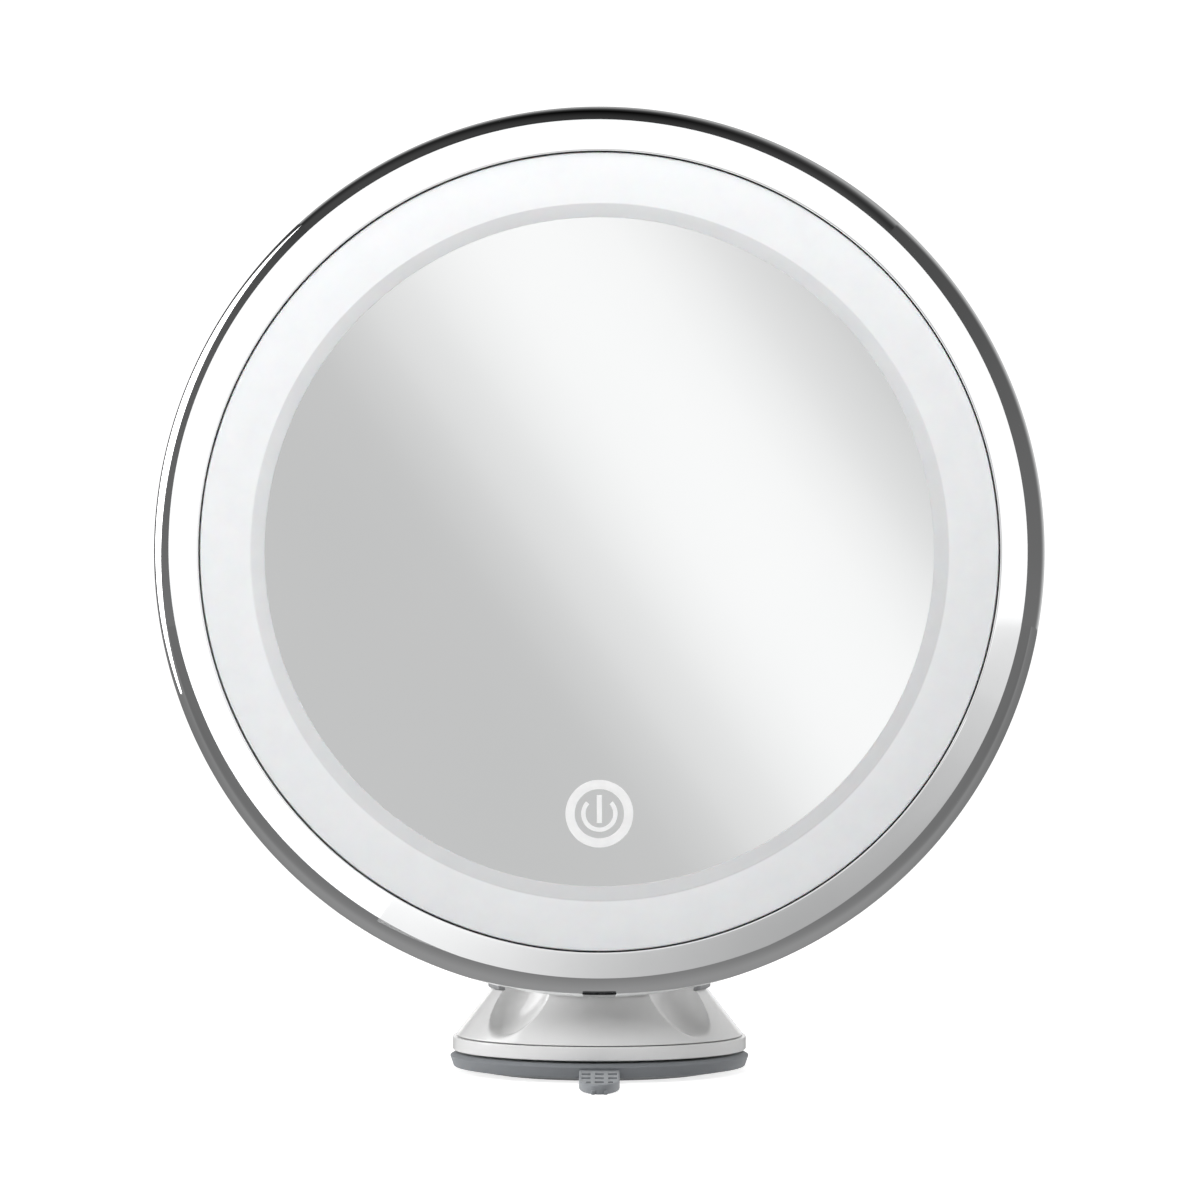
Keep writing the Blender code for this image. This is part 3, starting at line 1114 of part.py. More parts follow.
def make_rear_housing(finish, steel, frame):
    """The domed back with its hub boss, and the screws that hold it."""
    profile = [(HEAD_RADIUS, -HOUSING_FRONT_DEPTH)]
    dome_start = HOUSING_FRONT_DEPTH + HOUSING_SKIRT
    for index in range(HOUSING_DOME_STEPS + 1):
        turn = RIGHT_ANGLE * index / HOUSING_DOME_STEPS
        inward = math.cos(turn) ** (2 / HOUSING_DOME_POWER)
        downward = math.sin(turn) ** (2 / HOUSING_DOME_POWER)
        radius = HOUSING_FLAT_RADIUS + (HEAD_RADIUS - HOUSING_FLAT_RADIUS) * inward
        profile.append((radius, -dome_start - (HEAD_DEPTH - dome_start) * downward))
    profile += [
        (HUB_BOSS_RADIUS, -HEAD_DEPTH),
        (HUB_BOSS_RADIUS, -BOSS_BACK_DEPTH),
        (HUB_BORE_RADIUS, -BOSS_BACK_DEPTH),
    ]
    housing = turned("rear_housing", profile, RIM_STEPS, finish, frame, closed=False)
    shell(housing, HOUSING_WALL)

    def holes(work):
        for place in screw_places():
            matrix = Matrix.Translation((*place, -HEAD_DEPTH))
            add_cylinder(work, HOUSING_SCREW_RADIUS + GAP, 3 * HOUSING_WALL, PIN_STEPS, matrix)

    tool = add_object("housing_screw_holes", mesh_from(holes), finish, frame)
    boolean(housing, as_tool(tool), "DIFFERENCE")
    make_housing_screws(steel, frame)


def make_housing_screws(steel, frame):
    """The screws that hold the rear housing to the tray's bosses."""
    seat = HEAD_DEPTH + GAP
    back = seat + HOUSING_SCREW_HEAD_HEIGHT
    front = HOUSING_INNER_DEPTH - HOUSING_SCREW_BITE
    profile = [
        (0, -front),
        (HOUSING_SCREW_RADIUS, -front),
        (HOUSING_SCREW_RADIUS, -seat),
        (HOUSING_SCREW_HEAD_RADIUS, -seat),
        (HOUSING_SCREW_HEAD_RADIUS, -back),
        (0, -back),
    ]
    for index, place in enumerate(screw_places()):
        turned(f"housing_screw_{index + 1}", profile, PIN_STEPS, steel, frame, closed=False,
               location=(*place, 0))


def make_hub_bush(finish, frame):
    """The flanged bush in the hub boss."""
    flange_front = BOSS_FLOOR_DEPTH - GAP - BUSH_FLANGE_THICKNESS
    flange_back = BOSS_FLOOR_DEPTH - GAP
    sleeve = HUB_BORE_RADIUS - GAP
    profile = [
        (SPINDLE_HOLE_RADIUS, -flange_front),
        (BUSH_FLANGE_RADIUS, -flange_front),
        (BUSH_FLANGE_RADIUS, -flange_back),
        (sleeve, -flange_back),
        (sleeve, -BOSS_BACK_DEPTH),
        (SPINDLE_HOLE_RADIUS, -BOSS_BACK_DEPTH),
    ]
    turned("hub_bush", profile, HUB_STEPS, finish, frame)


def main():
    """Build the mirror from the surface up."""
    clear_scene()
    collection(PARTS)
    collection(TOOLS)

    chrome = Finish("chrome", (0.80, 0.81, 0.82), 0.06, 1.0)
    glass = Finish("mirror_glass", (0.90, 0.91, 0.92), 0.03, 1.0)
    frosted = Finish("frosted_light_ring", (0.93, 0.94, 0.96), 0.45, 0.0)
    white = Finish("white_plastic", (0.86, 0.86, 0.86), 0.22, 0.0)
    inner_white = Finish("matt_white_plastic", (0.80, 0.80, 0.78), 0.60, 0.0)
    rubber = Finish("grey_rubber", (0.20, 0.22, 0.23), 0.75, 0.0)
    collar_grey = Finish("grey_collar", (0.30, 0.30, 0.32), 0.55, 0.0)
    steel = Finish("steel", (0.62, 0.63, 0.65), 0.32, 1.0)
    zinc = Finish("painted_metal", (0.82, 0.82, 0.82), 0.35, 0.2)
    brass = Finish("brass", (0.72, 0.56, 0.28), 0.30, 1.0)
    nylon = Finish("nylon", (0.12, 0.12, 0.13), 0.55, 0.0)
    green = Finish("circuit_board", (0.05, 0.22, 0.12), 0.50, 0.0)
    foil = Finish("cell_foil", (0.55, 0.57, 0.60), 0.40, 0.8)
    foam = Finish("foam", (0.16, 0.16, 0.17), 0.90, 0.0)
    red_wire = Finish("red_wire", (0.55, 0.05, 0.05), 0.50, 0.0)
    icon = Finish("icon_white", (0.95, 0.96, 0.98), 0.50, 0.0)

    base = empty("base_axis", None, (0, 0, 0))
    knob_axis = empty("knob_axis", base, (0, 0, 0))
    puller_axis = empty("puller_axis", base, (0, 0, 0))
    swivel_axis = empty("swivel_axis", base, (0, 0, 0))
    lower_pivot = empty("lower_pivot", swivel_axis, (0, 0, LOWER_PIVOT_HEIGHT))
    upper_pivot = empty("upper_pivot", lower_pivot, (0, 0, HEAD_CENTRE_HEIGHT - LOWER_PIVOT_HEIGHT))
    spindle_frame = empty("spindle_frame", upper_pivot, (0, -HEAD_SETBACK, 0), FACE_FORWARD)
    head = empty("roll_axis", upper_pivot, (0, -HEAD_SETBACK, 0), FACE_FORWARD)

    make_suction_pad(rubber, base)
    make_base_housing(white, base)
    make_puller(steel, steel, puller_axis)
    make_lock_knob(white, collar_grey, knob_axis)
    make_cam_plate(nylon, knob_axis)
    make_turret(zinc, swivel_axis, lower_pivot)
    make_swivel_fastening(steel, nylon, base, swivel_axis)
    make_pivot_set("lower", steel, nylon, lower_pivot)
    make_arm(zinc, lower_pivot)
    make_pivot_set("upper", steel, nylon, upper_pivot)
    make_yoke(zinc, upper_pivot, spindle_frame)
    make_spindle(steel, nylon, spindle_frame)
    make_hub_bush(brass, head)
    make_rear_housing(white, steel, head)
    make_tray(inner_white, head)
    make_lights(inner_white, head)
    make_electronics(green, steel, foil, foam, red_wire, nylon, head)
    make_glass(glass, head)
    make_touch_icon(icon, head)
    make_diffuser(frosted, head)
    make_bezel(chrome, head)


if __name__ == "__main__":
    main()
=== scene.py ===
"""Lighted magnifying mirror: the looks of the finished part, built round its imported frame.

The mirror stands on its suction base and faces -Y. Lengths are metres, +Z is up.
Pieces of the head are shaped about the Z axis, facing up, and then tipped to face forward.
The round of an outline's corner and the width of a softened edge are in millimetres.
"""

import logging
import math
from dataclasses import dataclass, field
from enum import Enum
from typing import Callable, Optional, Sequence

import bpy
from mathutils import Matrix, Vector


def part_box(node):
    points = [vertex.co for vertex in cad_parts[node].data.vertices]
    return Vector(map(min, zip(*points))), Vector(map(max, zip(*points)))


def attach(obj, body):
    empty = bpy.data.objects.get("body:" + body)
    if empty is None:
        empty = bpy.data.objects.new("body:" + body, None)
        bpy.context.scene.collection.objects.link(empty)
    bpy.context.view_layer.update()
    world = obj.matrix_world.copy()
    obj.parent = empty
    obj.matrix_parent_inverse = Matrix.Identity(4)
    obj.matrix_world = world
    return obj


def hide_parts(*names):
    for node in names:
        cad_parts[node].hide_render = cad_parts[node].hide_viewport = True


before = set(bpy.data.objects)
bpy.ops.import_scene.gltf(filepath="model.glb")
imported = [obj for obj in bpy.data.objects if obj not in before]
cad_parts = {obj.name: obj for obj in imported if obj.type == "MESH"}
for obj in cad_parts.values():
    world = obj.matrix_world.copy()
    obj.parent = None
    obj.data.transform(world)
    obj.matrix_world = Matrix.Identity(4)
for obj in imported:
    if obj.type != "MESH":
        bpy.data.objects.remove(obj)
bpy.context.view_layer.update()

log = logging.getLogger("mirror")

MM = 0.001
FULL_TURN = 2 * math.pi
RIGHT_ANGLE = math.pi / 2
WELD = 1e-6
ARC_STEPS = 5
HOLE_STEPS = 48
SMOOTH_ANGLE = math.radians(32.0)
SOFTEN_ANGLE = math.radians(35.0)
LOWER_PIVOT = 42.0 * MM
UPPER_PIVOT = 121.5 * MM
BOLT_HOLE = 3.3 * MM
HEAD_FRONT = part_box("chrome_bezel")[0][1]
FULL_WHITE = (1.0, 1.0, 1.0, 1.0)
TONE_ENDS = (0.32, 0.68)
DULL_ENDS = (0.3, 0.7)

Pair = tuple[float, float]
Point = tuple[float, float, float]
Corner = Sequence[float]
Piece = bpy.types.Object
Tree = bpy.types.NodeTree
Socket = bpy.types.NodeSocket


class Body(Enum):
    """The bodies that new pieces ride on."""

    BASE = "base"
    KNOB = "knob"
    SWIVEL = "swivel"
    ARM = "arm"
    TILT = "tilt"
    HEAD = "head"


class Slot(Enum):
    """The record's material slots, each noted on the finish that matches it."""

    PAD = "pad_rubber"
    WHITE = "white_plastic"
    HOUSING = "housing_white"
    COLLAR = "collar_grey"
    NYLON = "nylon"
    STEEL = "steel"
    METAL = "white_metal"
    MIRROR = "mirror"
    ICON = "icon_white"
    FROSTED = "frosted"
    CHROME = "chrome"


def feed(tree: Tree, node: bpy.types.Node, inputs: dict) -> None:
    """Set or link a node's inputs.

    Args:
        tree: The material's nodes.
        node: The node.
        inputs: For each input, its value or the socket that drives it.
    """
    for key, value in inputs.items():
        if isinstance(value, Socket):
            tree.links.new(value, node.inputs[key])
        else:
            node.inputs[key].default_value = value


def add_node(tree: Tree, kind: str, output: str, inputs: Optional[dict] = None, **settings: object) -> Socket:
    """Add a node.

    Args:
        tree: The material's nodes.
        kind: The node's type.
        output: The name of the output that is wanted.
        inputs: For each input, its value or the socket that drives it.
        **settings: The node's own settings.

    Returns:
        The output.
    """
    node = tree.nodes.new(f"ShaderNode{kind}")
    for key, value in settings.items():
        setattr(node, key, value)
    feed(tree, node, inputs or {})
    return node.outputs[output]


def calculate(tree: Tree, way: str, output: str, *inputs: object) -> Socket:
    """Add a vector calculation.

    Args:
        tree: The material's nodes.
        way: The operation.
        output: The name of the output that is wanted.
        *inputs: The values or sockets that it works on.

    Returns:
        The output.
    """
    return add_node(tree, "VectorMath", output, dict(enumerate(inputs)), operation=way)


def spread(tree: Tree, value: Socket, start: float, end: float, low: object, high: object) -> Socket:
    """Spread a value from one range onto another.

    Args:
        tree: The material's nodes.
        value: The value.
        start: Where its range starts.
        end: Where its range ends.
        low: What it becomes at the start, a number or a socket.
        high: What it becomes at the end, a number or a socket.

    Returns:
        The new value.
    """
    return add_node(tree, "MapRange", "Result", {"Value": value, "From Min": start, "From Max": end,
                                                 "To Min": low, "To Max": high})


def blend_tones(tree: Tree, value: Socket, stops: Sequence[tuple], way: str = "LINEAR") -> Socket:
    """Turn a value into a colour.

    Args:
        tree: The material's nodes.
        value: The value, from 0 to 1.
        stops: Pairs of place and colour.
        way: How the colours run into each other.

    Returns:
        The colour.
    """
    node = tree.nodes.new("ShaderNodeValToRGB")
    node.color_ramp.interpolation = way
    elements = node.color_ramp.elements
    while len(elements) < len(stops):
        elements.new(0.5)
    for element, (position, tone) in zip(elements, stops):
        element.position = position
        element.color = (*tone, 1.0)
    feed(tree, node, {"Fac": value})
    return node.outputs["Color"]


def new_material(name: str) -> tuple[bpy.types.Material, Tree, bpy.types.Node]:
    """Make a material with nodes.

    Args:
        name: Its name.

    Returns:
        The material, its nodes and its shader.
    """
    made = bpy.data.materials.new(name)
    made.use_nodes = True
    return made, made.node_tree, made.node_tree.nodes["Principled BSDF"]


@dataclass(frozen=True)
class Finish:
    """A surface: two close tones, a range of roughness and a fine relief, all procedural.

    The tones and the roughness drift with noise on the object's own coordinates. Scales are in
    patches per metre, and the relief's depth is in millimetres.
    """

    name: str
    tone: Point
    other_tone: Point
    tone_scale: float
    roughness: Pair
    roughness_scale: float
    relief_scale: float
    relief: float
    relief_depth: float
    slot: Optional[Slot] = None
    metallic: float = 0.0
    coat: float = 0.0
    coat_roughness: float = 0.05
    sheen: float = 0.0
    subsurface: float = 0.0
    subsurface_reach: float = 2.0 * MM
    specular: float = 0.5
    stretch: Point = (1.0, 1.0, 1.0)

    def material(self) -> bpy.types.Material:
        """Return the finish's material, made on first use.

        Returns:
            The material that carries this finish's name.
        """
        known = bpy.data.materials.get(self.name)
        if known:
            return known
        made, tree, shader = new_material(self.name)
        made.diffuse_color = (*self.tone, 1.0)
        place = add_node(tree, "TexCoord", "Object")
        where = add_node(tree, "Mapping", "Vector", {"Vector": place, "Scale": self.stretch})
        scales = (self.tone_scale, self.roughness_scale)
        drift, dullness = (self.noise(tree, where, scale) for scale in scales)
        feed(tree, shader, {
            "Base Color": blend_tones(tree, drift, list(zip(TONE_ENDS, (self.tone, self.other_tone)))),
            "Roughness": spread(tree, dullness, *DULL_ENDS, *self.roughness),
            "Metallic": self.metallic, "Specular IOR Level": self.specular, "Sheen Weight": self.sheen,
            "Coat Weight": self.coat, "Coat Roughness": self.coat_roughness,
            "Subsurface Weight": self.subsurface, "Subsurface Scale": self.subsurface_reach,
        })
        if self.relief:
            grain = self.noise(tree, where, self.relief_scale, 2.0)
            feed(tree, shader, {"Normal": add_node(tree, "Bump", "Normal", {
                "Strength": self.relief, "Distance": self.relief_depth * MM, "Height": grain})})
        return made

    def noise(self, tree: Tree, where: Socket, scale: float, detail: float = 4.0) -> Socket:
        """Return the value of a new noise pattern."""
        return add_node(tree, "TexNoise", "Fac", {"Scale": scale, "Detail": detail, "Roughness": 0.6,
                                                  "Vector": where})


CHROME = Finish("polished_chrome", (0.90, 0.905, 0.91), (0.93, 0.935, 0.94), 60.0, (0.02, 0.045), 90.0,
                500.0, 0.02, 0.02, Slot.CHROME, metallic=1.0)
SILVERED = Finish("silvered_glass", (0.945, 0.955, 0.955), (0.96, 0.965, 0.965), 18.0, (0.0, 0.012), 40.0,
                  100.0, 0.0, 0.0, Slot.MIRROR, metallic=1.0)
FROSTED = Finish("frosted_ring", (0.885, 0.897, 0.913), (0.915, 0.925, 0.938), 160.0, (0.34, 0.46), 220.0,
                 900.0, 0.10, 0.05, Slot.FROSTED, subsurface=0.12, coat=0.15, coat_roughness=0.2)
GLOSS_WHITE = Finish("gloss_white_plastic", (0.81, 0.81, 0.81), (0.82, 0.82, 0.818), 70.0, (0.15, 0.18),
                     150.0, 1500.0, 0.04, 0.02, Slot.WHITE, coat=0.2, specular=0.4)
HOUSING_WHITE = Finish("housing_white_plastic", (0.812, 0.812, 0.807), (0.820, 0.820, 0.812), 50.0,
                       (0.46, 0.49), 120.0, 2200.0, 0.12, 0.04, Slot.HOUSING, specular=0.3)
MATT_WHITE = Finish("matt_white_plastic", (0.776, 0.776, 0.756), (0.786, 0.786, 0.766), 60.0, (0.53, 0.57),
                    120.0, 2000.0, 0.15, 0.05)
RUBBER = Finish("dark_rubber", (0.192, 0.203, 0.216), (0.203, 0.214, 0.227), 240.0, (0.58, 0.66), 300.0,
                2600.0, 0.25, 0.05, Slot.PAD, sheen=0.12, specular=0.4)
GREY_SOFT = Finish("soft_grey_collar", (0.290, 0.292, 0.302), (0.305, 0.307, 0.317), 180.0, (0.45, 0.55),
                   240.0, 2400.0, 0.20, 0.04, Slot.COLLAR)
STEEL = Finish("plated_steel", (0.60, 0.61, 0.63), (0.68, 0.69, 0.70), 220.0, (0.20, 0.34), 400.0,
               3000.0, 0.08, 0.02, Slot.STEEL, metallic=1.0)
ENAMEL = Finish("white_enamel", (0.812, 0.812, 0.812), (0.820, 0.820, 0.820), 90.0, (0.27, 0.30), 200.0,
                1600.0, 0.16, 0.05, Slot.METAL, coat=0.25, coat_roughness=0.15)
BRASS = Finish("turned_brass", (0.70, 0.53, 0.25), (0.78, 0.60, 0.30), 300.0, (0.20, 0.32), 400.0,
               3000.0, 0.08, 0.02, metallic=1.0, stretch=(1.0, 8.0, 1.0))
NYLON = Finish("black_nylon", (0.020, 0.020, 0.022), (0.035, 0.035, 0.038), 200.0, (0.42, 0.55), 300.0,
               2500.0, 0.15, 0.04, Slot.NYLON)
BOARD = Finish("circuit_board_green", (0.012, 0.11, 0.05), (0.02, 0.15, 0.07), 500.0, (0.30, 0.45), 500.0,
               3000.0, 0.10, 0.04)
FOIL = Finish("cell_wrapping", (0.50, 0.52, 0.55), (0.60, 0.62, 0.65), 120.0, (0.28, 0.45), 200.0,
              300.0, 0.35, 0.2, metallic=0.8)
FOAM = Finish("dark_foam", (0.05, 0.05, 0.055), (0.10, 0.10, 0.105), 1500.0, (0.85, 0.95), 800.0,
              1800.0, 0.60, 0.2)
RED_WIRE = Finish("red_wire_sheath", (0.45, 0.02, 0.02), (0.52, 0.03, 0.03), 200.0, (0.35, 0.48), 300.0,
                  2500.0, 0.08, 0.02)
BLACK_WIRE = Finish("black_wire_sheath", (0.02, 0.02, 0.022), (0.032, 0.032, 0.035), 200.0, (0.35, 0.48),
                    300.0, 2500.0, 0.08, 0.02)
PRINT_WHITE = Finish("white_print", (0.90, 0.90, 0.90), (0.94, 0.94, 0.94), 400.0, (0.35, 0.5), 400.0,
                     3000.0, 0.05, 0.01, Slot.ICON)


def only(piece: Optional[Piece]) -> None:
    """Select one piece, or none, so that an operator acts on it or on a new one alone.

    Args:
        piece: The piece to work on, or None before a new one is added.
    """
    for thing in list(bpy.context.selected_objects):
        thing.select_set(False)
    if piece:
        piece.select_set(True)
        bpy.context.view_layer.objects.active = piece


def edit(on: bool) -> None:
    """Enter or leave edit mode."""
    bpy.ops.object.mode_set(mode="EDIT" if on else "OBJECT")


def select_all() -> None:
    """Select the whole mesh, in edit mode."""
    bpy.ops.mesh.select_all(action="SELECT")


def named(name: str) -> Piece:
    """Name the active object and its mesh.

    Args:
        name: The new name.

    Returns:
        The object.
    """
    piece = bpy.context.object
    piece.name = name
    piece.data.name = name
    return piece


def wire(name: str, points: Sequence[Point]) -> Piece:
    """Draw an outline, from a small plane that is merged into its first corner.

    Args:
        name: The piece's name.
        points: The outline's points.

    Returns:
        The piece, in edit mode.
    """
    only(None)
    bpy.ops.mesh.primitive_plane_add(size=MM, location=(0, 0, 0))
    piece = named(name)
    edit(True)
    select_all()
    bpy.ops.mesh.merge(type="CENTER")
    bpy.ops.transform.translate(value=points[0])
    for before, after in zip(points, points[1:]):
        step = tuple(b - a for a, b in zip(before, after))
        bpy.ops.mesh.extrude_vertices_move(TRANSFORM_OT_translate={"value": step})
    return piece


def filled(name: str, points: Sequence[Point]) -> Piece:
    """Draw a closed outline and fill it with one face.

    Args:
        name: The piece's name.
        points: The outline's corners.

    Returns:
        The piece, in edit mode.
    """
    piece = wire(name, [*points, points[0]])
    select_all()
    bpy.ops.mesh.remove_doubles(threshold=WELD)
    bpy.ops.mesh.edge_face_add()
    return piece


def mend() -> None:
    """Merge doubles, turn faces outwards and leave edit mode."""
    select_all()
    bpy.ops.mesh.remove_doubles(threshold=WELD)
    bpy.ops.mesh.normals_make_consistent(inside=False)
    edit(False)


def smooth(piece: Piece) -> None:
    """Shade a piece smooth but for its sharp edges."""
    only(piece)
    bpy.ops.object.shade_smooth_by_angle(angle=SMOOTH_ANGLE)


def rounded(corners: Sequence[Corner], steps: int = ARC_STEPS) -> list[Pair]:
    """Round the corners of an open outline.

    Args:
        corners: Each corner's two coordinates and, where it is rounded, its radius.
        steps: How many segments a round has.

    Returns:
        The outline's points.
    """
    points: list[Pair] = []
    for index, (across, up, *radius) in enumerate(corners):
        if not radius:
            points.append((across, up))
            continue
        here = Vector((across, up))
        back = (Vector(corners[index - 1][:2]) - here).normalized()
        ahead = (Vector(corners[index + 1][:2]) - here).normalized()
        half = back.angle(ahead) / 2
        size = radius[0] * MM
        centre = here + (back + ahead).normalized() * (size / math.sin(half))
        start = here + back * (size / math.tan(half)) - centre
        end = here + ahead * (size / math.tan(half)) - centre
        sweep = start.angle_signed(end)
        for step in range(steps + 1):
            turned = start.copy()
            turned.rotate(Matrix.Rotation(-sweep * step / steps, 2))
            points.append(tuple(centre + turned))
    return points


def lathe(name: str, outline: Sequence[Corner], steps: int, closed: bool = True) -> Piece:
    """Spin an outline round the Z axis.

    Args:
        name: The piece's name.
        outline: Each corner's radius and height and, where it is rounded, its round.
        steps: Facets round one turn.
        closed: Whether the last point joins the first, as in a ring.

    Returns:
        The turned piece.
    """
    points = [(radius, 0.0, height) for radius, height in rounded(outline)]
    piece = wire(name, [*points, points[0]] if closed else points)
    select_all()
    bpy.ops.mesh.spin(steps=steps, angle=FULL_TURN, center=(0, 0, 0), axis=(0, 0, 1), use_auto_merge=True)
    mend()
    smooth(piece)
    return piece


def divided(outline: Sequence[Pair], index: int, rows: int) -> list[Pair]:
    """Divide one segment of an outline into short steps.

    Args:
        outline: The outline's points.
        index: The point that the segment starts from.
        rows: How many steps it gets.

    Returns:
        The outline with the new points in it.
    """
    start, end = outline[index], outline[index + 1]
    steps = [tuple(a + (b - a) * row / rows for a, b in zip(start, end)) for row in range(1, rows)]
    return [*outline[:index + 1], *steps, *outline[index + 1:]]


def slab(name: str, outline: Sequence[Pair], bottom: float, thickness: float) -> Piece:
    """Fill an outline in the XY plane and raise it to a plate.

    Args:
        name: The piece's name.
        outline: The plate's corners, in order.
        bottom: The height of its underside.
        thickness: How thick it is.

    Returns:
        The plate.
    """
    piece = filled(name, [(x, y, bottom) for x, y in outline])
    select_all()
    bpy.ops.mesh.extrude_region_move(TRANSFORM_OT_translate={"value": (0, 0, thickness)})
    mend()
    return piece


def rod(name: str, radius: float, length: float, middle: Point = (0, 0, 0), turn: Point = (0, 0, 0),
        steps: int = HOLE_STEPS) -> Piece:
    """Add a cylinder, as a cutter or the start of a piece.

    Args:
        name: The piece's name.
        radius: Its radius.
        length: Its length along its own Z.
        middle: Its middle.
        turn: Its Euler angles.
        steps: Facets round it.

    Returns:
        The cylinder, with its place in its mesh.
    """
    only(None)
    bpy.ops.mesh.primitive_cylinder_add(vertices=steps, radius=radius, depth=length, location=middle,
                                        rotation=turn)
    return apply_place(named(name))


def block(name: str, size: Point, middle: Point, turn: Point = (0, 0, 0)) -> Piece:
    """Add a box, as a cutter or the start of a piece.

    Args:
        name: The piece's name.
        size: Its size.
        middle: Its middle.
        turn: Its Euler angles.

    Returns:
        The box, with its place in its mesh.
    """
    only(None)
    bpy.ops.mesh.primitive_cube_add(size=1.0, location=middle, rotation=turn, scale=size)
    return apply_place(named(name))


def apply_place(piece: Piece) -> Piece:
    """Move a piece's place into its mesh.

    Args:
        piece: The piece.

    Returns:
        The piece.
    """
    only(piece)
    bpy.ops.object.transform_apply(location=True, rotation=True, scale=True)
    return piece


def move(piece: Piece, place: Matrix) -> None:
    """Put a piece somewhere, with its place in its mesh."""
    piece.matrix_world = place
    apply_place(piece)


def modify(piece: Piece, kind: str, **values: object) -> None:
    """Add a modifier to a piece and apply it.

    Args:
        piece: The piece.
        kind: The modifier's type.
        **values: Its settings.
    """
    only(piece)
    modifier = piece.modifiers.new(kind.lower(), kind)
    for key, value in values.items():
        setattr(modifier, key, value)
    bpy.ops.object.modifier_apply(modifier=modifier.name)


def combine(piece: Piece, tool: Piece, way: str = "DIFFERENCE") -> None:
    """Cut a piece with a tool, or join the tool to it with UNION, and delete the tool."""
    modify(piece, "BOOLEAN", operation=way, object=tool, solver="EXACT")
    bpy.data.objects.remove(tool, do_unlink=True)


def weld(piece: Piece) -> None:
    """Merge the doubles that a cut left behind."""
    modify(piece, "WELD", merge_threshold=10 * WELD)


def soften(piece: Piece, width: float, segments: int = 3) -> None:
    """Round a piece's sharp edges and shade it.

    Args:
        piece: The piece.
        width: The rounds' width.
        segments: How many faces a round has.
    """
    weld(piece)
    modify(piece, "BEVEL", width=width * MM, segments=segments, limit_method="ANGLE",
           angle_limit=SOFTEN_ANGLE, use_clamp_overlap=True, harden_normals=False)
    smooth(piece)


def arc(centre: Pair, radius: float, start: float, end: float, steps: int) -> list[Pair]:
    """Return points along an arc.

    Args:
        centre: Its centre.
        radius: Its radius.
        start: Its first angle.
        end: Its last angle.
        steps: How many segments it has.

    Returns:
        The points.
    """
    turns = [start + (end - start) * step / steps for step in range(steps + 1)]
    return [(centre[0] + radius * math.cos(turn), centre[1] + radius * math.sin(turn)) for turn in turns]


def hexagon(radius: float) -> list[Pair]:
    """Return the corners of a hexagon."""
    return arc((0, 0), radius, 0.0, FULL_TURN, 6)[:-1]


def stood(height: float) -> Matrix:
    """Return the turn that stands a plate up, facing X, at a height."""
    return Matrix(((0, 0, 1, 0), (1, 0, 0, 0), (0, 1, 0, height), (0, 0, 0, 1)))


def laid(height: float) -> Matrix:
    """Return the turn that lays the Z axis along X, at a height."""
    return Matrix(((0, 0, 1, 0), (0, 1, 0, 0), (-1, 0, 0, height), (0, 0, 0, 1)))


def copy_piece(piece: Piece, name: str) -> Piece:
    """Copy a piece with its own mesh.

    Args:
        piece: The piece.
        name: The copy's name.

    Returns:
        The copy.
    """
    twin = piece.copy()
    twin.data = piece.data.copy()
    twin.name = name
    twin.data.name = name
    bpy.context.collection.objects.link(twin)
    return twin


def dress(piece: Piece, finish: Finish, body: Body, *nodes: str) -> None:
    """Give a piece its finish, its body and the nodes that it stands for.

    Args:
        piece: The piece.
        finish: Its finish.
        body: The body it rides on.
        *nodes: The nodes that it replaces.
    """
    piece.data.materials.clear()
    piece.data.materials.append(finish.material())
    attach(piece, body.value)
    if nodes:
        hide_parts(*nodes)
    log.info("%s: %d faces, %s", piece.name, len(piece.data.polygons), finish.name)


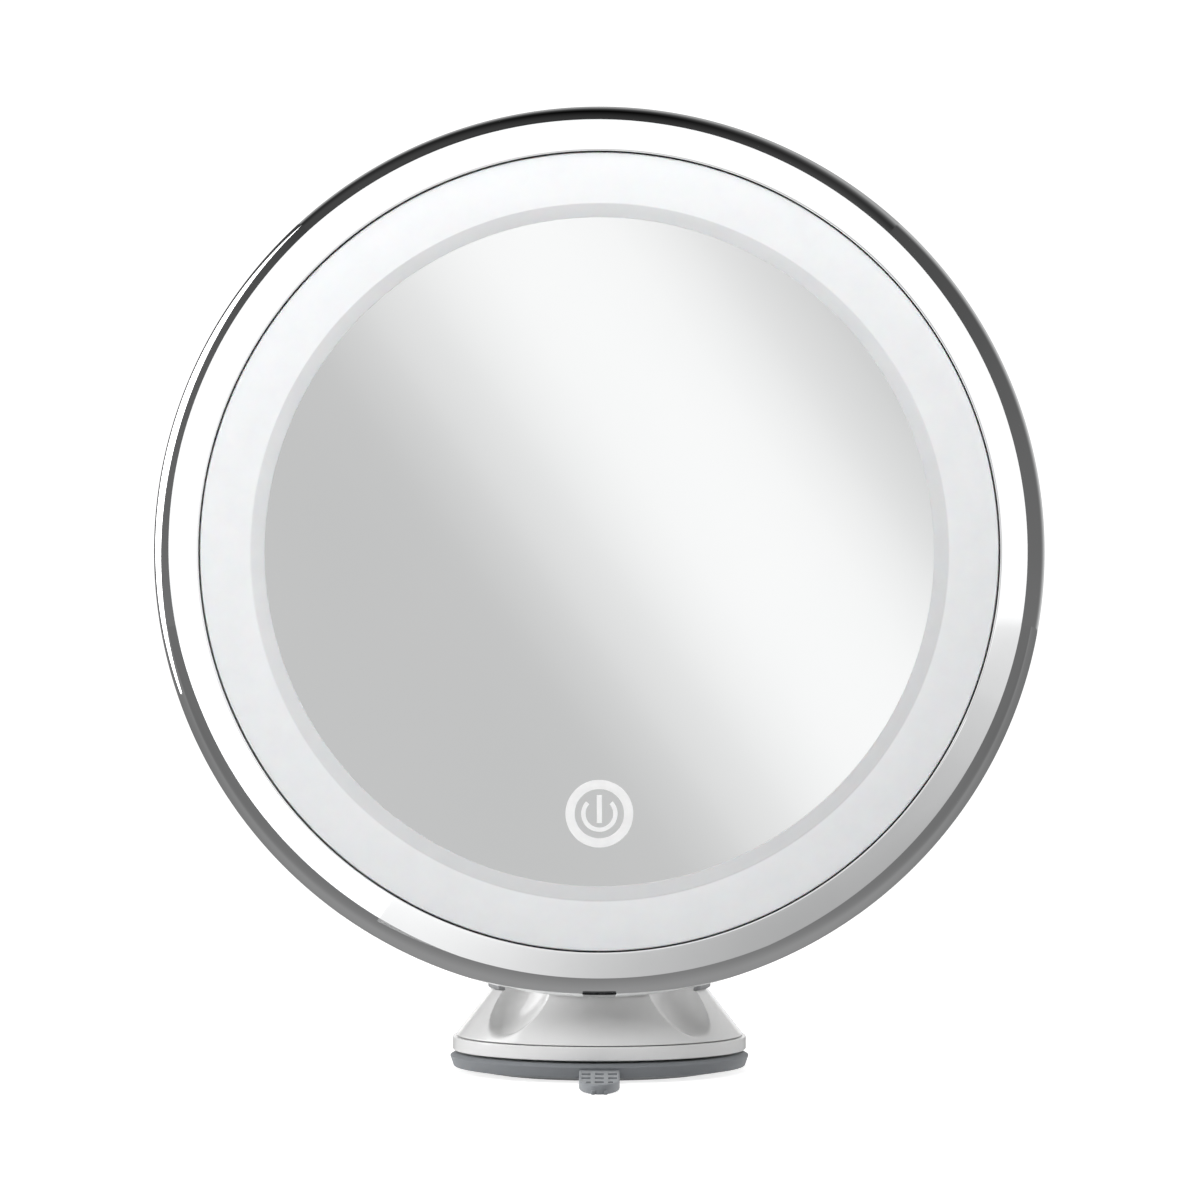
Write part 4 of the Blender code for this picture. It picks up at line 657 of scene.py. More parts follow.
@dataclass
class SuctionPad:
    """The dark rubber pad with its pull tab."""

    radius: float = 35.06 * MM
    top_radius: float = 33.7 * MM
    foot_radius: float = 34.2 * MM
    contact_radius: float = 26.0 * MM
    lift: float = 1.4 * MM
    shoulder: float = 3.9 * MM
    top: float = 4.6 * MM
    pocket_radius: float = 13.0 * MM
    skin: float = 2.4 * MM
    steps: int = 160
    tab_width: float = 9.2 * MM
    tab_reach: float = 25.5 * MM
    tab_root: float = 4.0 * MM
    tab_thickness: float = 2.2 * MM
    tab_slope: float = math.radians(2.2)
    tab_start: float = 35.0 * MM
    tab_nose: float = 10.5 * MM
    grip_size: Pair = (2.1 * MM, 3.0 * MM)
    grip_pitch: Pair = (3.0 * MM, 7.0 * MM)
    grip_first: float = 6.4 * MM
    grip_depth: float = 0.7 * MM
    end_grip_size: Pair = (1.2 * MM, 2.4 * MM)
    end_grip_offset: float = 2.5 * MM
    pip_radius: float = 0.5 * MM
    pip_offset: float = 1.4 * MM
    pip_reach: float = 0.35 * MM
    pip_height: float = 0.9 * MM

    def build(self) -> None:
        """Build the pad and its tab in one piece."""
        pad = lathe("suction_pad_looks", [
            (0.0, self.skin), (self.pocket_radius, self.skin, 0.3), (self.pocket_radius, self.top, 0.2),
            (self.top_radius, self.top, 0.3), (self.radius, self.shoulder, 0.3),
            (self.foot_radius, self.lift, 0.4), (self.contact_radius, 0.0, 1.0), (0.0, 0.0),
        ], self.steps, closed=False)
        combine(pad, self.tab(), "UNION")
        smooth(pad)
        dress(pad, RUBBER, Body.BASE, "suction_pad")

    def tab(self) -> Piece:
        """Build the pull tab with its rows of grip slots and two end pips.

        Returns:
            The tab, in place.
        """
        half = self.tab_width / 2
        end = self.tab_reach - self.pip_reach
        outline = [(half, self.tab_root), (-half, self.tab_root)]
        for x, y in arc((0, 0), half, math.pi, FULL_TURN, 28):
            outline.append((x, y * self.tab_nose / half + self.tab_nose - end))
        tab = slab("pull_tab", outline, -self.tab_thickness / 2, self.tab_thickness)
        soften(tab, 0.3)
        top = self.tab_thickness / 2
        for row in range(3):
            for column in (-1, 0, 1):
                narrow = row == 2 and column != 0
                width, length = self.end_grip_size if narrow else self.grip_size
                across = column * (self.end_grip_offset if narrow else self.grip_pitch[0])
                place = (across, -self.grip_first - row * self.grip_pitch[1], top)
                grip = block("grip", (width, length, 2 * self.grip_depth), place)
                soften(grip, 0.3, 2)
                combine(tab, grip)
        for side in (-1, 1):
            place = (side * self.pip_offset, self.pip_radius - self.tab_reach, self.pip_height / 2 - top)
            pip = rod("pip", self.pip_radius, self.pip_height, place, steps=20)
            soften(pip, 0.15, 2)
            combine(tab, pip, "UNION")
        rise = math.sin(self.tab_slope) * self.tab_reach + (1 - math.cos(self.tab_slope)) * top
        move(tab, Matrix.Translation((0, -self.tab_start, top)) @ Matrix.Rotation(self.tab_slope, 4, "X")
             @ Matrix.Translation((0, 0, rise)))
        return tab


@dataclass
class BaseHousing:
    """The white ring under the knob, with its well and centre tube."""

    radius: float = 34.4 * MM
    width: float = 3.4 * MM
    bottom: float = 5.2 * MM
    top: float = 8.4 * MM
    seat: float = 4.9 * MM
    step_radius: float = 31.5 * MM
    web_top: float = 7.0 * MM
    well_radius: float = 14.0 * MM
    well_wall: float = 2.0 * MM
    well_top: float = 6.9 * MM
    tube_radius: float = 8.0 * MM
    tube_bore: float = 4.3 * MM
    tube_top: float = 24.0 * MM
    tube_cap: float = 3.8 * MM
    screw_bore: float = 2.0 * MM
    slot_size: Point = (18.0 * MM, 3.6 * MM, 5.6 * MM)
    slot_height: float = 13.6 * MM
    steps: int = 160

    def build(self) -> None:
        """Build the housing in one piece."""
        well_outer, well_roof = self.well_radius + self.well_wall, self.well_top + self.well_wall
        rim, cap = self.radius - self.width, self.tube_top - self.tube_cap
        housing = lathe("base_housing_looks", [
            (self.screw_bore, self.tube_top), (self.tube_radius, self.tube_top, 0.5),
            (self.tube_radius, well_roof, 0.8), (well_outer, well_roof, 0.5),
            (well_outer, self.web_top, 0.6), (rim, self.web_top, 0.6), (rim, self.top, 0.3),
            (self.radius, self.top, 0.2), (self.radius, self.bottom, 0.35),
            (self.step_radius, self.bottom, 0.1), (self.step_radius, self.seat, 0.1),
            (self.well_radius, self.seat), (self.well_radius, self.well_top),
            (self.tube_bore, self.well_top), (self.tube_bore, cap), (self.screw_bore, cap),
        ], self.steps)
        combine(housing, block("pin_slot", self.slot_size, (0, 0, self.slot_height)))
        smooth(housing)
        dress(housing, GLOSS_WHITE, Body.BASE, "base_housing")


@dataclass
class LockKnob:
    """The white knob and its grey collar, both pressed in by four finger scoops."""

    bottom: float = 8.6 * MM
    top: float = 19.6 * MM
    radius: float = 33.8 * MM
    top_radius: float = 25.23 * MM
    crown_radius: float = 24.6 * MM
    crown_top: float = 21.4 * MM
    bore: float = 8.3 * MM
    cavity_radius: float = 29.3 * MM
    cavity_top_radius: float = 19.5 * MM
    cavity_top: float = 17.2 * MM
    least_wall: float = 1.5 * MM
    collar_radius: float = 26.1 * MM
    collar_inner: float = 17.0 * MM
    collar_bottom: float = 19.8 * MM
    collar_top: float = 21.9 * MM
    collar_lid: float = 0.4 * MM
    collar_wall: float = 0.95 * MM
    collar_retreat: float = 1.7 * MM
    collar_hurry: float = 2.5
    scoop_count: int = 4
    scoop_half_length: float = 10.3 * MM
    scoop_half_width: float = 8.1 * MM
    scoop_depth: float = 4.2 * MM
    scoop_drop: float = 0.9 * MM
    scoop_blend: float = 0.65 * MM
    rows: int = 44
    crown_rows: int = 8
    steps: int = 720

    def build(self) -> None:
        """Build the knob and the collar."""
        knob = lathe("lock_knob_looks", self.knob_outline(), self.steps)
        self.press(knob, self.knob_point)
        weld(knob)
        smooth(knob)
        dress(knob, GLOSS_WHITE, Body.KNOB, "lock_knob")
        lid, skirt = self.collar_top - self.collar_lid, self.collar_radius - self.collar_wall
        collar = lathe("knob_collar_looks", [
            (self.collar_inner, lid), (self.collar_inner, self.collar_top, 0.15),
            (self.collar_radius, self.collar_top, 0.5), (self.collar_radius, self.collar_bottom, 0.35),
            (skirt, self.collar_bottom, 0.2), (skirt, lid),
        ], self.steps)
        self.press(collar, self.collar_point)
        dress(collar, GREY_SOFT, Body.KNOB, "knob_collar")

    def slope(self) -> float:
        """Return the lean of the knob's side from upright."""
        return math.atan2(self.radius - self.top_radius, self.top - self.bottom)

    def knob_outline(self) -> list[Pair]:
        """Draw the knob's outline, with its sloping side in many short steps.

        Returns:
            The outline's points.
        """
        outline = rounded([
            (self.bore, self.crown_top), (self.crown_radius, self.crown_top, 0.3),
            (self.crown_radius, self.top), (self.top_radius, self.top, 0.1),
            (self.radius, self.bottom, 0.15), (self.cavity_radius, self.bottom, 0.4),
            (self.cavity_top_radius, self.cavity_top, 0.8), (self.bore, self.cavity_top),
        ])
        wall = 1 + ARC_STEPS
        side = wall + 2 + ARC_STEPS
        return divided(divided(outline, side, self.rows), wall, self.crown_rows)

    def scoop_radius(self, turn: float, height: float) -> Optional[float]:
        """Return where a scoop starts along a ray from the axis.

        The scoop is an ellipsoid whose middle lies on the knob's side. Beyond its edge the value
        goes on growing, so that the knob's edge round it comes out evenly rounded.

        Args:
            turn: The ray's angle from the scoop's middle.
            height: The ray's height.

        Returns:
            The radius, or None well away from the scoop.
        """
        if math.cos(turn) < 0.5:
            return None
        lean = self.slope()
        across, up = math.cos(lean), math.sin(lean)
        middle = self.top_radius + self.scoop_drop * math.tan(lean)
        rise = height - (self.top - self.scoop_drop)
        depth_rate = math.cos(turn) * across / self.scoop_depth
        depth_start = (rise * up - middle * across) / self.scoop_depth
        length_rate = math.cos(turn) * up / self.scoop_half_length
        length_start = (-rise * across - middle * up) / self.scoop_half_length
        width_rate = math.sin(turn) / self.scoop_half_width
        square = depth_rate**2 + length_rate**2 + width_rate**2
        linear = 2 * (depth_rate * depth_start + length_rate * length_start)
        constant = depth_start**2 + length_start**2 - 1
        inside = linear**2 - 4 * square * constant
        root = math.copysign(math.sqrt(abs(inside)), inside)
        return (-linear - root) / (2 * square)

    def pressed(self, radius: float, turn: float, height: float) -> float:
        """Return a radius after the nearest scoop is pressed in.

        Args:
            radius: The radius before.
            turn: The angle round the axis.
            height: The height.

        Returns:
            The radius after.
        """
        pitch = FULL_TURN / self.scoop_count
        scoop = self.scoop_radius((turn % pitch) - pitch / 2, height)
        if scoop is None:
            return radius
        blend = max(self.scoop_blend - abs(radius - scoop), 0.0) / self.scoop_blend
        return min(radius, scoop) - blend * blend * self.scoop_blend / 4

    def press(self, piece: Piece, moved: Callable[[float, float, float], float]) -> None:
        """Move a turned piece's points along their radius.

        Args:
            piece: The piece.
            moved: Gives a point's new radius from its radius, its angle and its height.
        """
        for corner in piece.data.vertices:
            x, y, height = corner.co
            turn = math.atan2(y, x)
            fresh = moved(math.hypot(x, y), turn, height)
            corner.co.x, corner.co.y = fresh * math.cos(turn), fresh * math.sin(turn)
        piece.data.update()

    def knob_point(self, radius: float, turn: float, height: float) -> float:
        """Press the scoops into the knob's outer side, and leave its hidden inner side.

        Args:
            radius: The radius before.
            turn: The angle round the axis.
            height: The height.

        Returns:
            The radius after.
        """
        edge = self.bore + WELD
        if height <= self.cavity_top + WELD:
            edge = self.top_radius + (self.top - height) * math.tan(self.slope()) - self.least_wall
        return radius if radius < edge else self.pressed(radius, turn, height)

    def collar_point(self, radius: float, turn: float, height: float) -> float:
        """Draw the collar's skirt in at the scoops, until it hides behind the knob's white.

        Args:
            radius: The radius before.
            turn: The angle round the axis.
            height: The height.

        Returns:
            The radius after.
        """
        if radius <= self.collar_radius - self.collar_wall - WELD:
            return radius
        pull = self.collar_radius - self.pressed(self.collar_radius, turn, height)
        return radius - pull - min(self.collar_hurry * pull, self.collar_retreat)


@dataclass
class Fastener:
    """Makes washers, nuts and screws about Z."""

    steps: int = HOLE_STEPS
    edge: float = 0.15

    def washer(self, name: str, inner: float, outer: float, bottom: float, thickness: float) -> Piece:
        """Make a flat washer with softened edges.

        Args:
            name: The piece's name.
            inner: Its hole's radius.
            outer: Its radius.
            bottom: The height of its underside.
            thickness: How thick it is.

        Returns:
            The washer.
        """
        corners = ((inner, bottom + thickness), (outer, bottom + thickness), (outer, bottom), (inner, bottom))
        rim = [(inner, bottom + thickness / 2), *((*corner, self.edge) for corner in corners)]
        return lathe(name, rounded([*rim[:-1], rim[-1][:2]], 3), self.steps)

    def nut(self, name: str, radius: float, bore: float, bottom: float, thickness: float) -> Piece:
        """Make a hexagonal nut.

        Args:
            name: The piece's name.
            radius: Its corners' radius.
            bore: Its hole's radius.
            bottom: The height of its underside.
            thickness: How thick it is.

        Returns:
            The nut.
        """
        nut = slab(name, hexagon(radius), bottom, thickness)
        combine(nut, rod("nut_bore", bore, 2 * thickness, (0, 0, bottom + thickness / 2)))
        soften(nut, 0.25, 2)
        return nut

    def screw(self, name: str, outline: Sequence[Corner], head: float, recess: Point) -> Piece:
        """Make a screw with a cross slot in its head.

        Args:
            name: The piece's name.
            outline: Its outline, from the axis to the axis.
            head: The height of its head's face.
            recess: The slot's length, width and depth.

        Returns:
            The screw.
        """
        screw = lathe(name, outline, self.steps, closed=False)
        length, width, depth = recess
        for turn in (0.0, RIGHT_ANGLE):
            combine(screw, block("recess", (length, width, 2 * depth), (0, 0, head), (0, 0, turn)))
        smooth(screw)
        return screw


@dataclass
class EarPair:
    """Two ears with rounded ends about a pivot, and an eye in each for the bolt."""

    inner: float = 6.3 * MM
    thickness: float = 5.0 * MM
    radius: float = 8.0 * MM

    def join(self, body: Piece, foot: float, place: Matrix) -> None:
        """Join the ears to a body.

        Args:
            body: The body.
            foot: How far they reach from the pivot.
            place: The turn that puts them round the pivot.
        """
        for side in (-1, 1):
            outline = arc((0, 0), self.radius, 0, math.pi, 32)
            outline += [(-self.radius, -foot), (self.radius, -foot)]
            ear = slab("ear", outline, -self.thickness / 2, self.thickness)
            combine(ear, rod("eye", BOLT_HOLE, 2 * self.thickness))
            soften(ear, 0.8)
            move(ear, Matrix.Translation((side * (self.inner + self.thickness / 2), 0, 0)) @ place)
            combine(body, ear, "UNION")


@dataclass
class SwivelTurret:
    """The turning foot of the arm with its two ears, and what clamps it."""

    bottom: float = 22.2 * MM
    top: float = 28.4 * MM
    radius: float = 17.5 * MM
    shoulder_radius: float = 14.5 * MM
    shoulder_drop: float = 3.0 * MM
    bore: float = 8.3 * MM
    web_bottom: float = 25.4 * MM
    screw_hole: float = 2.3 * MM
    ear_root: float = 1.5 * MM
    washer_radius: float = 5.8 * MM
    washer_bottom: float = 28.7 * MM
    washer_thickness: float = 1.0 * MM
    screw_radius: float = 1.7 * MM
    screw_end: float = 20.6 * MM
    screw_seat: float = 30.0 * MM
    screw_top: float = 32.4 * MM
    screw_head_radius: float = 4.2 * MM
    screw_face_radius: float = 3.6 * MM
    screw_crown: float = 0.1 * MM
    recess: Point = (4.6 * MM, 0.9 * MM, 1.3 * MM)
    steps: int = 96

    def build(self) -> None:
        """Build the turret, its clamp washer and its screw."""
        turret = lathe("turret_looks", [
            (self.screw_hole, self.top), (self.shoulder_radius, self.top, 0.8),
            (self.radius, self.top - self.shoulder_drop, 1.0), (self.radius, self.bottom, 0.4),
            (self.bore, self.bottom, 0.3), (self.bore, self.web_bottom), (self.screw_hole, self.web_bottom),
        ], self.steps)
        EarPair().join(turret, LOWER_PIVOT - self.top + self.ear_root, stood(LOWER_PIVOT))
        smooth(turret)
        dress(turret, ENAMEL, Body.SWIVEL, "turret")
        maker = Fastener()
        washer = maker.washer("clamp_washer_looks", self.screw_hole, self.washer_radius, self.washer_bottom,
                              self.washer_thickness)
        dress(washer, STEEL, Body.SWIVEL, "clamp_washer")
        screw = maker.screw("turret_screw_looks", [
            (0.0, self.screw_top), (self.screw_face_radius, self.screw_top - self.screw_crown, 0.8),
            (self.screw_head_radius, self.screw_seat, 0.2), (self.screw_radius, self.screw_seat),
            (self.screw_radius, self.screw_end, 0.2), (0.0, self.screw_end),
        ], self.screw_top, self.recess)
        dress(screw, STEEL, Body.SWIVEL, "turret_screw")


@dataclass
class PivotSet:
    """One pivot's bolt, nut and friction washers, along X."""

    prefix: str
    height: float
    body: Body
    bolt_radius: float = 3.0 * MM
    head_radius: float = 5.6 * MM
    head_start: float = 11.6 * MM
    head_thickness: float = 3.0 * MM
    head_crown: float = 0.3 * MM
    socket_radius: float = 2.3 * MM
    socket_depth: float = 1.8 * MM
    nut_radius: float = 5.8 * MM
    nut_thickness: float = 3.6 * MM
    end: float = 15.8 * MM
    washer_radius: float = 6.4 * MM
    washer_start: float = 5.3 * MM
    washer_thickness: float = 0.7 * MM

    def build(self) -> None:
        """Build the set, each piece about Z and then laid along X."""
        top = self.head_start + self.head_thickness
        bolt = lathe(f"{self.prefix}_bolt_looks", [
            (0.0, top), (self.head_radius, top - self.head_crown, 1.1),
            (self.head_radius, self.head_start, 0.2), (self.bolt_radius, self.head_start),
            (self.bolt_radius, -self.end, 0.4), (0.0, -self.end),
        ], 64, closed=False)
        combine(bolt, slab("socket", hexagon(self.socket_radius), top - self.socket_depth,
                           self.head_thickness))
        smooth(bolt)
        maker = Fastener()
        nut = maker.nut(f"{self.prefix}_nut_looks", self.nut_radius, BOLT_HOLE,
                        -self.head_start - self.nut_thickness, self.nut_thickness)
        pieces = [(bolt, STEEL, "bolt"), (nut, STEEL, "nut")]
        sides = {"right": self.washer_start, "left": -self.washer_start - self.washer_thickness}
        for side, bottom in sides.items():
            washer = maker.washer(f"{self.prefix}_friction_washer_{side}_looks", BOLT_HOLE,
                                  self.washer_radius, bottom, self.washer_thickness)
            pieces.append((washer, NYLON, f"friction_washer_{side}"))
        for piece, finish, node in pieces:
            move(piece, laid(self.height))
            dress(piece, finish, self.body, f"{self.prefix}_{node}")


@dataclass
class ArmLink:
    """The flat arm between the two pivots."""

    eye_radius: float = 7.0 * MM
    waist: float = 10.4 * MM
    thickness: float = 10.0 * MM
    groove_depth: float = 0.9 * MM
    groove_width: float = 4.6 * MM
    groove_start: float = 16.8 * MM

    def build(self) -> None:
        """Build the arm with a shallow groove down each face."""
        length = UPPER_PIVOT - LOWER_PIVOT
        half = self.waist / 2
        flare = math.asin(half / self.eye_radius)
        shoulder = 2 * self.eye_radius * math.cos(flare)
        outline = arc((0, length), self.eye_radius, flare - RIGHT_ANGLE, 3 * RIGHT_ANGLE - flare, 40)
        outline += [(-half, length - shoulder), (-half, shoulder)]
        outline += arc((0, 0), self.eye_radius, RIGHT_ANGLE + flare, 5 * RIGHT_ANGLE - flare, 40)
        outline += [(half, shoulder), (half, length - shoulder)]
        arm = slab("arm_link_looks", outline, -self.thickness / 2, self.thickness)
        for along in (0.0, length):
            combine(arm, rod("eye", BOLT_HOLE, 2 * self.thickness, (0, along, 0)))
        half, depth = self.groove_width / 2, 2 * self.groove_depth
        groove = arc((0, self.groove_start), half, math.pi, FULL_TURN, 16)
        groove += arc((0, length - self.groove_start), half, 0, math.pi, 16)
        for side in (-1, 1):
            combine(arm, slab("groove", groove, side * self.thickness / 2 - depth / 2, depth))
        soften(arm, 0.9)
        move(arm, stood(LOWER_PIVOT))
        dress(arm, ENAMEL, Body.ARM, "arm_link")


@dataclass
class TiltYoke:
    """The fork at the head's back, which holds the spindle set that the head rolls on."""

    front: float = -16.8 * MM
    back: float = -8.5 * MM
    half_width: float = 11.3 * MM
    half_height: float = 9.0 * MM
    pocket_radius: float = 5.8 * MM
    pocket_depth: float = 3.0 * MM

    def build(self) -> None:
        """Build the yoke, with its two ears and the pocket for the nut."""
        thickness, middle = self.back - self.front, (self.front + self.back) / 2
        yoke = block("tilt_yoke_looks", (2 * self.half_width, thickness, 2 * self.half_height),
                     (0, middle, UPPER_PIVOT))
        soften(yoke, 1.0, 4)
        EarPair().join(yoke, -middle, laid(UPPER_PIVOT))
        for radius, length, along in ((BOLT_HOLE, 4 * thickness, self.front),
                                      (self.pocket_radius, 2 * self.pocket_depth, self.back)):
            combine(yoke, rod("hole", radius, length, (0, along, UPPER_PIVOT), (RIGHT_ANGLE, 0, 0)))
        smooth(yoke)
        dress(yoke, ENAMEL, Body.TILT, "tilt_yoke")


def face_forward(piece: Piece) -> None:
    """Tip a piece of the head, shaped about Z and facing up, to face forward."""
    move(piece, Matrix.Translation((0, HEAD_FRONT, UPPER_PIVOT)) @ Matrix.Rotation(RIGHT_ANGLE, 4, "X"))


@dataclass
class ChromeBezel:
    """The chromed rim: a lip, a hollowed face and a deep round nose."""

    lip_radius: float = 90.84 * MM
    lip_back: float = 1.5 * MM
    lip_edge: float = 0.12 * MM
    crease_radius: float = 96.8 * MM
    crease_depth: float = 1.36 * MM
    radius: float = 101.48 * MM
    depth: float = 7.0 * MM
    wall: float = 0.9 * MM
    wall_margin: float = 0.1 * MM
    face_lean: Pair = (math.radians(8.0), math.radians(18.0))
    nose_start: float = math.radians(40.0)
    face_rows: int = 12
    nose_rows: int = 24
    slot_width: float = 7.75 * MM
    slot_front: float = 3.45 * MM
    slot_height: float = 2.4 * MM
    slot_cut: float = 5.0 * MM
    normal_reach: float = 0.02 * MM
    liner_gap: float = 0.05 * MM
    liner_wall: float = 0.4 * MM
    liner_reach: Pair = (98.0 * MM, 100.3 * MM)
    steps: int = 384

    def build(self) -> None:
        """Build the rim with the charging slot cut in its lower edge."""
        outer = [*self.face(), *self.nose()]
        edge = self.lip_edge
        lip = [(self.lip_radius, -self.lip_back),
               *arc((self.lip_radius + edge, -edge), edge, math.pi, RIGHT_ANGLE + self.face_lean[0], 5)]
        back = (self.lip_radius + self.wall, -self.lip_back)
        outline = [*lip, *outer[1:], *reversed(self.inset(outer)), back]
        bezel = lathe("chrome_bezel_looks", outline, self.steps)
        whole = copy_piece(bezel, "whole_bezel")
        cutter = block("slot", (self.slot_width, self.slot_cut, self.slot_height),
                       (0, -self.radius, -self.slot_front - self.slot_height / 2))
        soften(cutter, 0.7, 4)
        combine(bezel, cutter)
        smooth(bezel)
        modify(bezel, "DATA_TRANSFER", object=whole, use_loop_data=True, data_types_loops={"CUSTOM_NORMAL"},
               loop_mapping="POLYINTERP_NEAREST", use_max_distance=True, max_distance=self.normal_reach)
        bpy.data.objects.remove(whole, do_unlink=True)
        face_forward(bezel)
        dress(bezel, CHROME, Body.HEAD, "chrome_bezel")
        self.liner()

    def liner(self) -> None:
        """Build the dark socket liner inside the charging slot."""
        low, high = self.liner_reach
        width, height = (size - 2 * self.liner_gap for size in (self.slot_width, self.slot_height))
        depth = -self.slot_front - self.slot_height / 2
        liner = block("port_liner_looks", (width, high - low, height), (0, -(low + high) / 2, depth))
        soften(liner, 0.2, 2)
        wall = 2 * self.liner_wall
        pocket = (width - wall, high - low, height - wall)
        combine(liner, block("pocket", pocket, (0, -high + wall / 2, depth)))
        smooth(liner)
        face_forward(liner)
        dress(liner, NYLON, Body.HEAD)

    def face(self) -> list[Pair]:
        """Draw the face's outline, which leans more towards the crease.

        Returns:
            The outline's points.
        """
        start = self.lip_radius + self.lip_edge
        width = self.crease_radius - start
        first, last = (math.tan(lean) for lean in self.face_lean)
        drop = (first + last) / 2 * width
        scale = self.crease_depth / drop
        points = []
        for row in range(self.face_rows + 1):
            share = row / self.face_rows
            depth = scale * width * (first * share + (last - first) * share**2 / 2)
            points.append((start + width * share, -depth))
        return points

    def nose(self) -> list[Pair]:
        """Draw the nose's outline, a part of an ellipse that ends upright.

        Returns:
            The outline's points.
        """
        across = (self.radius - self.crease_radius) / (1 - math.sin(self.nose_start))
        along = (self.depth - self.crease_depth) / math.cos(self.nose_start)
        points = []
        for row in range(1, self.nose_rows + 1):
            turn = self.nose_start + (RIGHT_ANGLE - self.nose_start) * row / self.nose_rows
            points.append((self.radius - across * (1 - math.sin(turn)), -self.depth + along * math.cos(turn)))
        return points

    def inset(self, outline: Sequence[Pair]) -> list[Pair]:
        """Set an outline in by the wall.

        Args:
            outline: The outline's points.

        Returns:
            The inner outline's points, without those beside the lip's wall.
        """
        points = []
        last = len(outline) - 1
        for index, point in enumerate(outline):
            before = Vector(outline[max(index - 1, 0)])
            after = Vector(outline[min(index + 1, last)])
            along = (after - before).normalized()
            points.append((point[0] + along.y * self.wall, point[1] - along.x * self.wall))
        return [point for point in points if point[0] > self.lip_radius + self.wall + self.wall_margin]


@dataclass
class LightRing:
    """The frosted ring over the lamps, with a bevelled lip towards the glass."""

    radius: float = 90.52 * MM
    bevel_radius: float = 79.0 * MM
    lip_radius: float = 76.0 * MM
    face_depth: float = 0.6 * MM
    back_depth: float = 2.6 * MM
    back_step: float = 1.0 * MM
    lip_depth: float = 2.5 * MM
    lip_back: float = 3.5 * MM
    # Painted shade: each pair scales the tone from the side away from the light to the side towards it; the
    # bevel's pair is also lower overall, as it is thicker
    lip_tone_and_painted_shade: Pair = (0.63, 1.09)
    face_painted_light: Pair = (0.93, 1.045)
    tone_edge: float = 0.4 * MM
    light_side: Point = (-0.39, 0.0, 1.0)
    steps: int = 256

    def build(self) -> None:
        """Build the ring."""
        ring = lathe("light_ring_looks", [
            (self.lip_radius, -(self.lip_depth + self.lip_back) / 2),
            (self.lip_radius, -self.lip_depth, 0.25), (self.bevel_radius, -self.face_depth, 0.5),
            (self.radius, -self.face_depth, 0.35),
            (self.radius, -self.back_depth, 0.1), (self.bevel_radius + self.back_step, -self.back_depth),
            (self.bevel_radius, -self.lip_back), (self.lip_radius, -self.lip_back),
        ], self.steps)
        face_forward(ring)
        dress(ring, FROSTED, Body.HEAD, "diffuser_ring")
        # Paints light and shade into the ring's tone
        self.paint_ring_shade(ring.data.materials[0].node_tree)

    def paint_ring_shade(self, tree: Tree) -> None:
        """Paint light and shade into the ring's tone: lighter towards the light and darker away from it, on
        the face and on the bevel. The bevel is also deeper in tone, as it is thicker.

        Args:
            tree: The ring's material nodes.
        """
        shader = tree.nodes["Principled BSDF"]
        plain = shader.inputs["Base Color"].links[0].from_socket
        place = add_node(tree, "TexCoord", "Object")
        centred = calculate(tree, "SUBTRACT", "Vector", place, (0, 0, UPPER_PIVOT))
        flat = calculate(tree, "MULTIPLY", "Vector", centred, (1, 0, 1))
        reach = calculate(tree, "LENGTH", "Value", flat)
        # Painted light and shade: the tone rises towards light_side and falls away from it
        rise = calculate(tree, "DOT_PRODUCT", "Value", centred, self.light_side)
        lip, face = (spread(tree, rise, -self.bevel_radius, self.bevel_radius, *tones)
                     for tones in (self.lip_tone_and_painted_shade, self.face_painted_light))
        depth = spread(tree, reach, self.bevel_radius, self.bevel_radius + self.tone_edge, lip, face)
        feed(tree, shader, {"Base Color": add_node(tree, "VectorMath", "Vector", {0: plain, "Scale": depth},
                                                   operation="SCALE")})


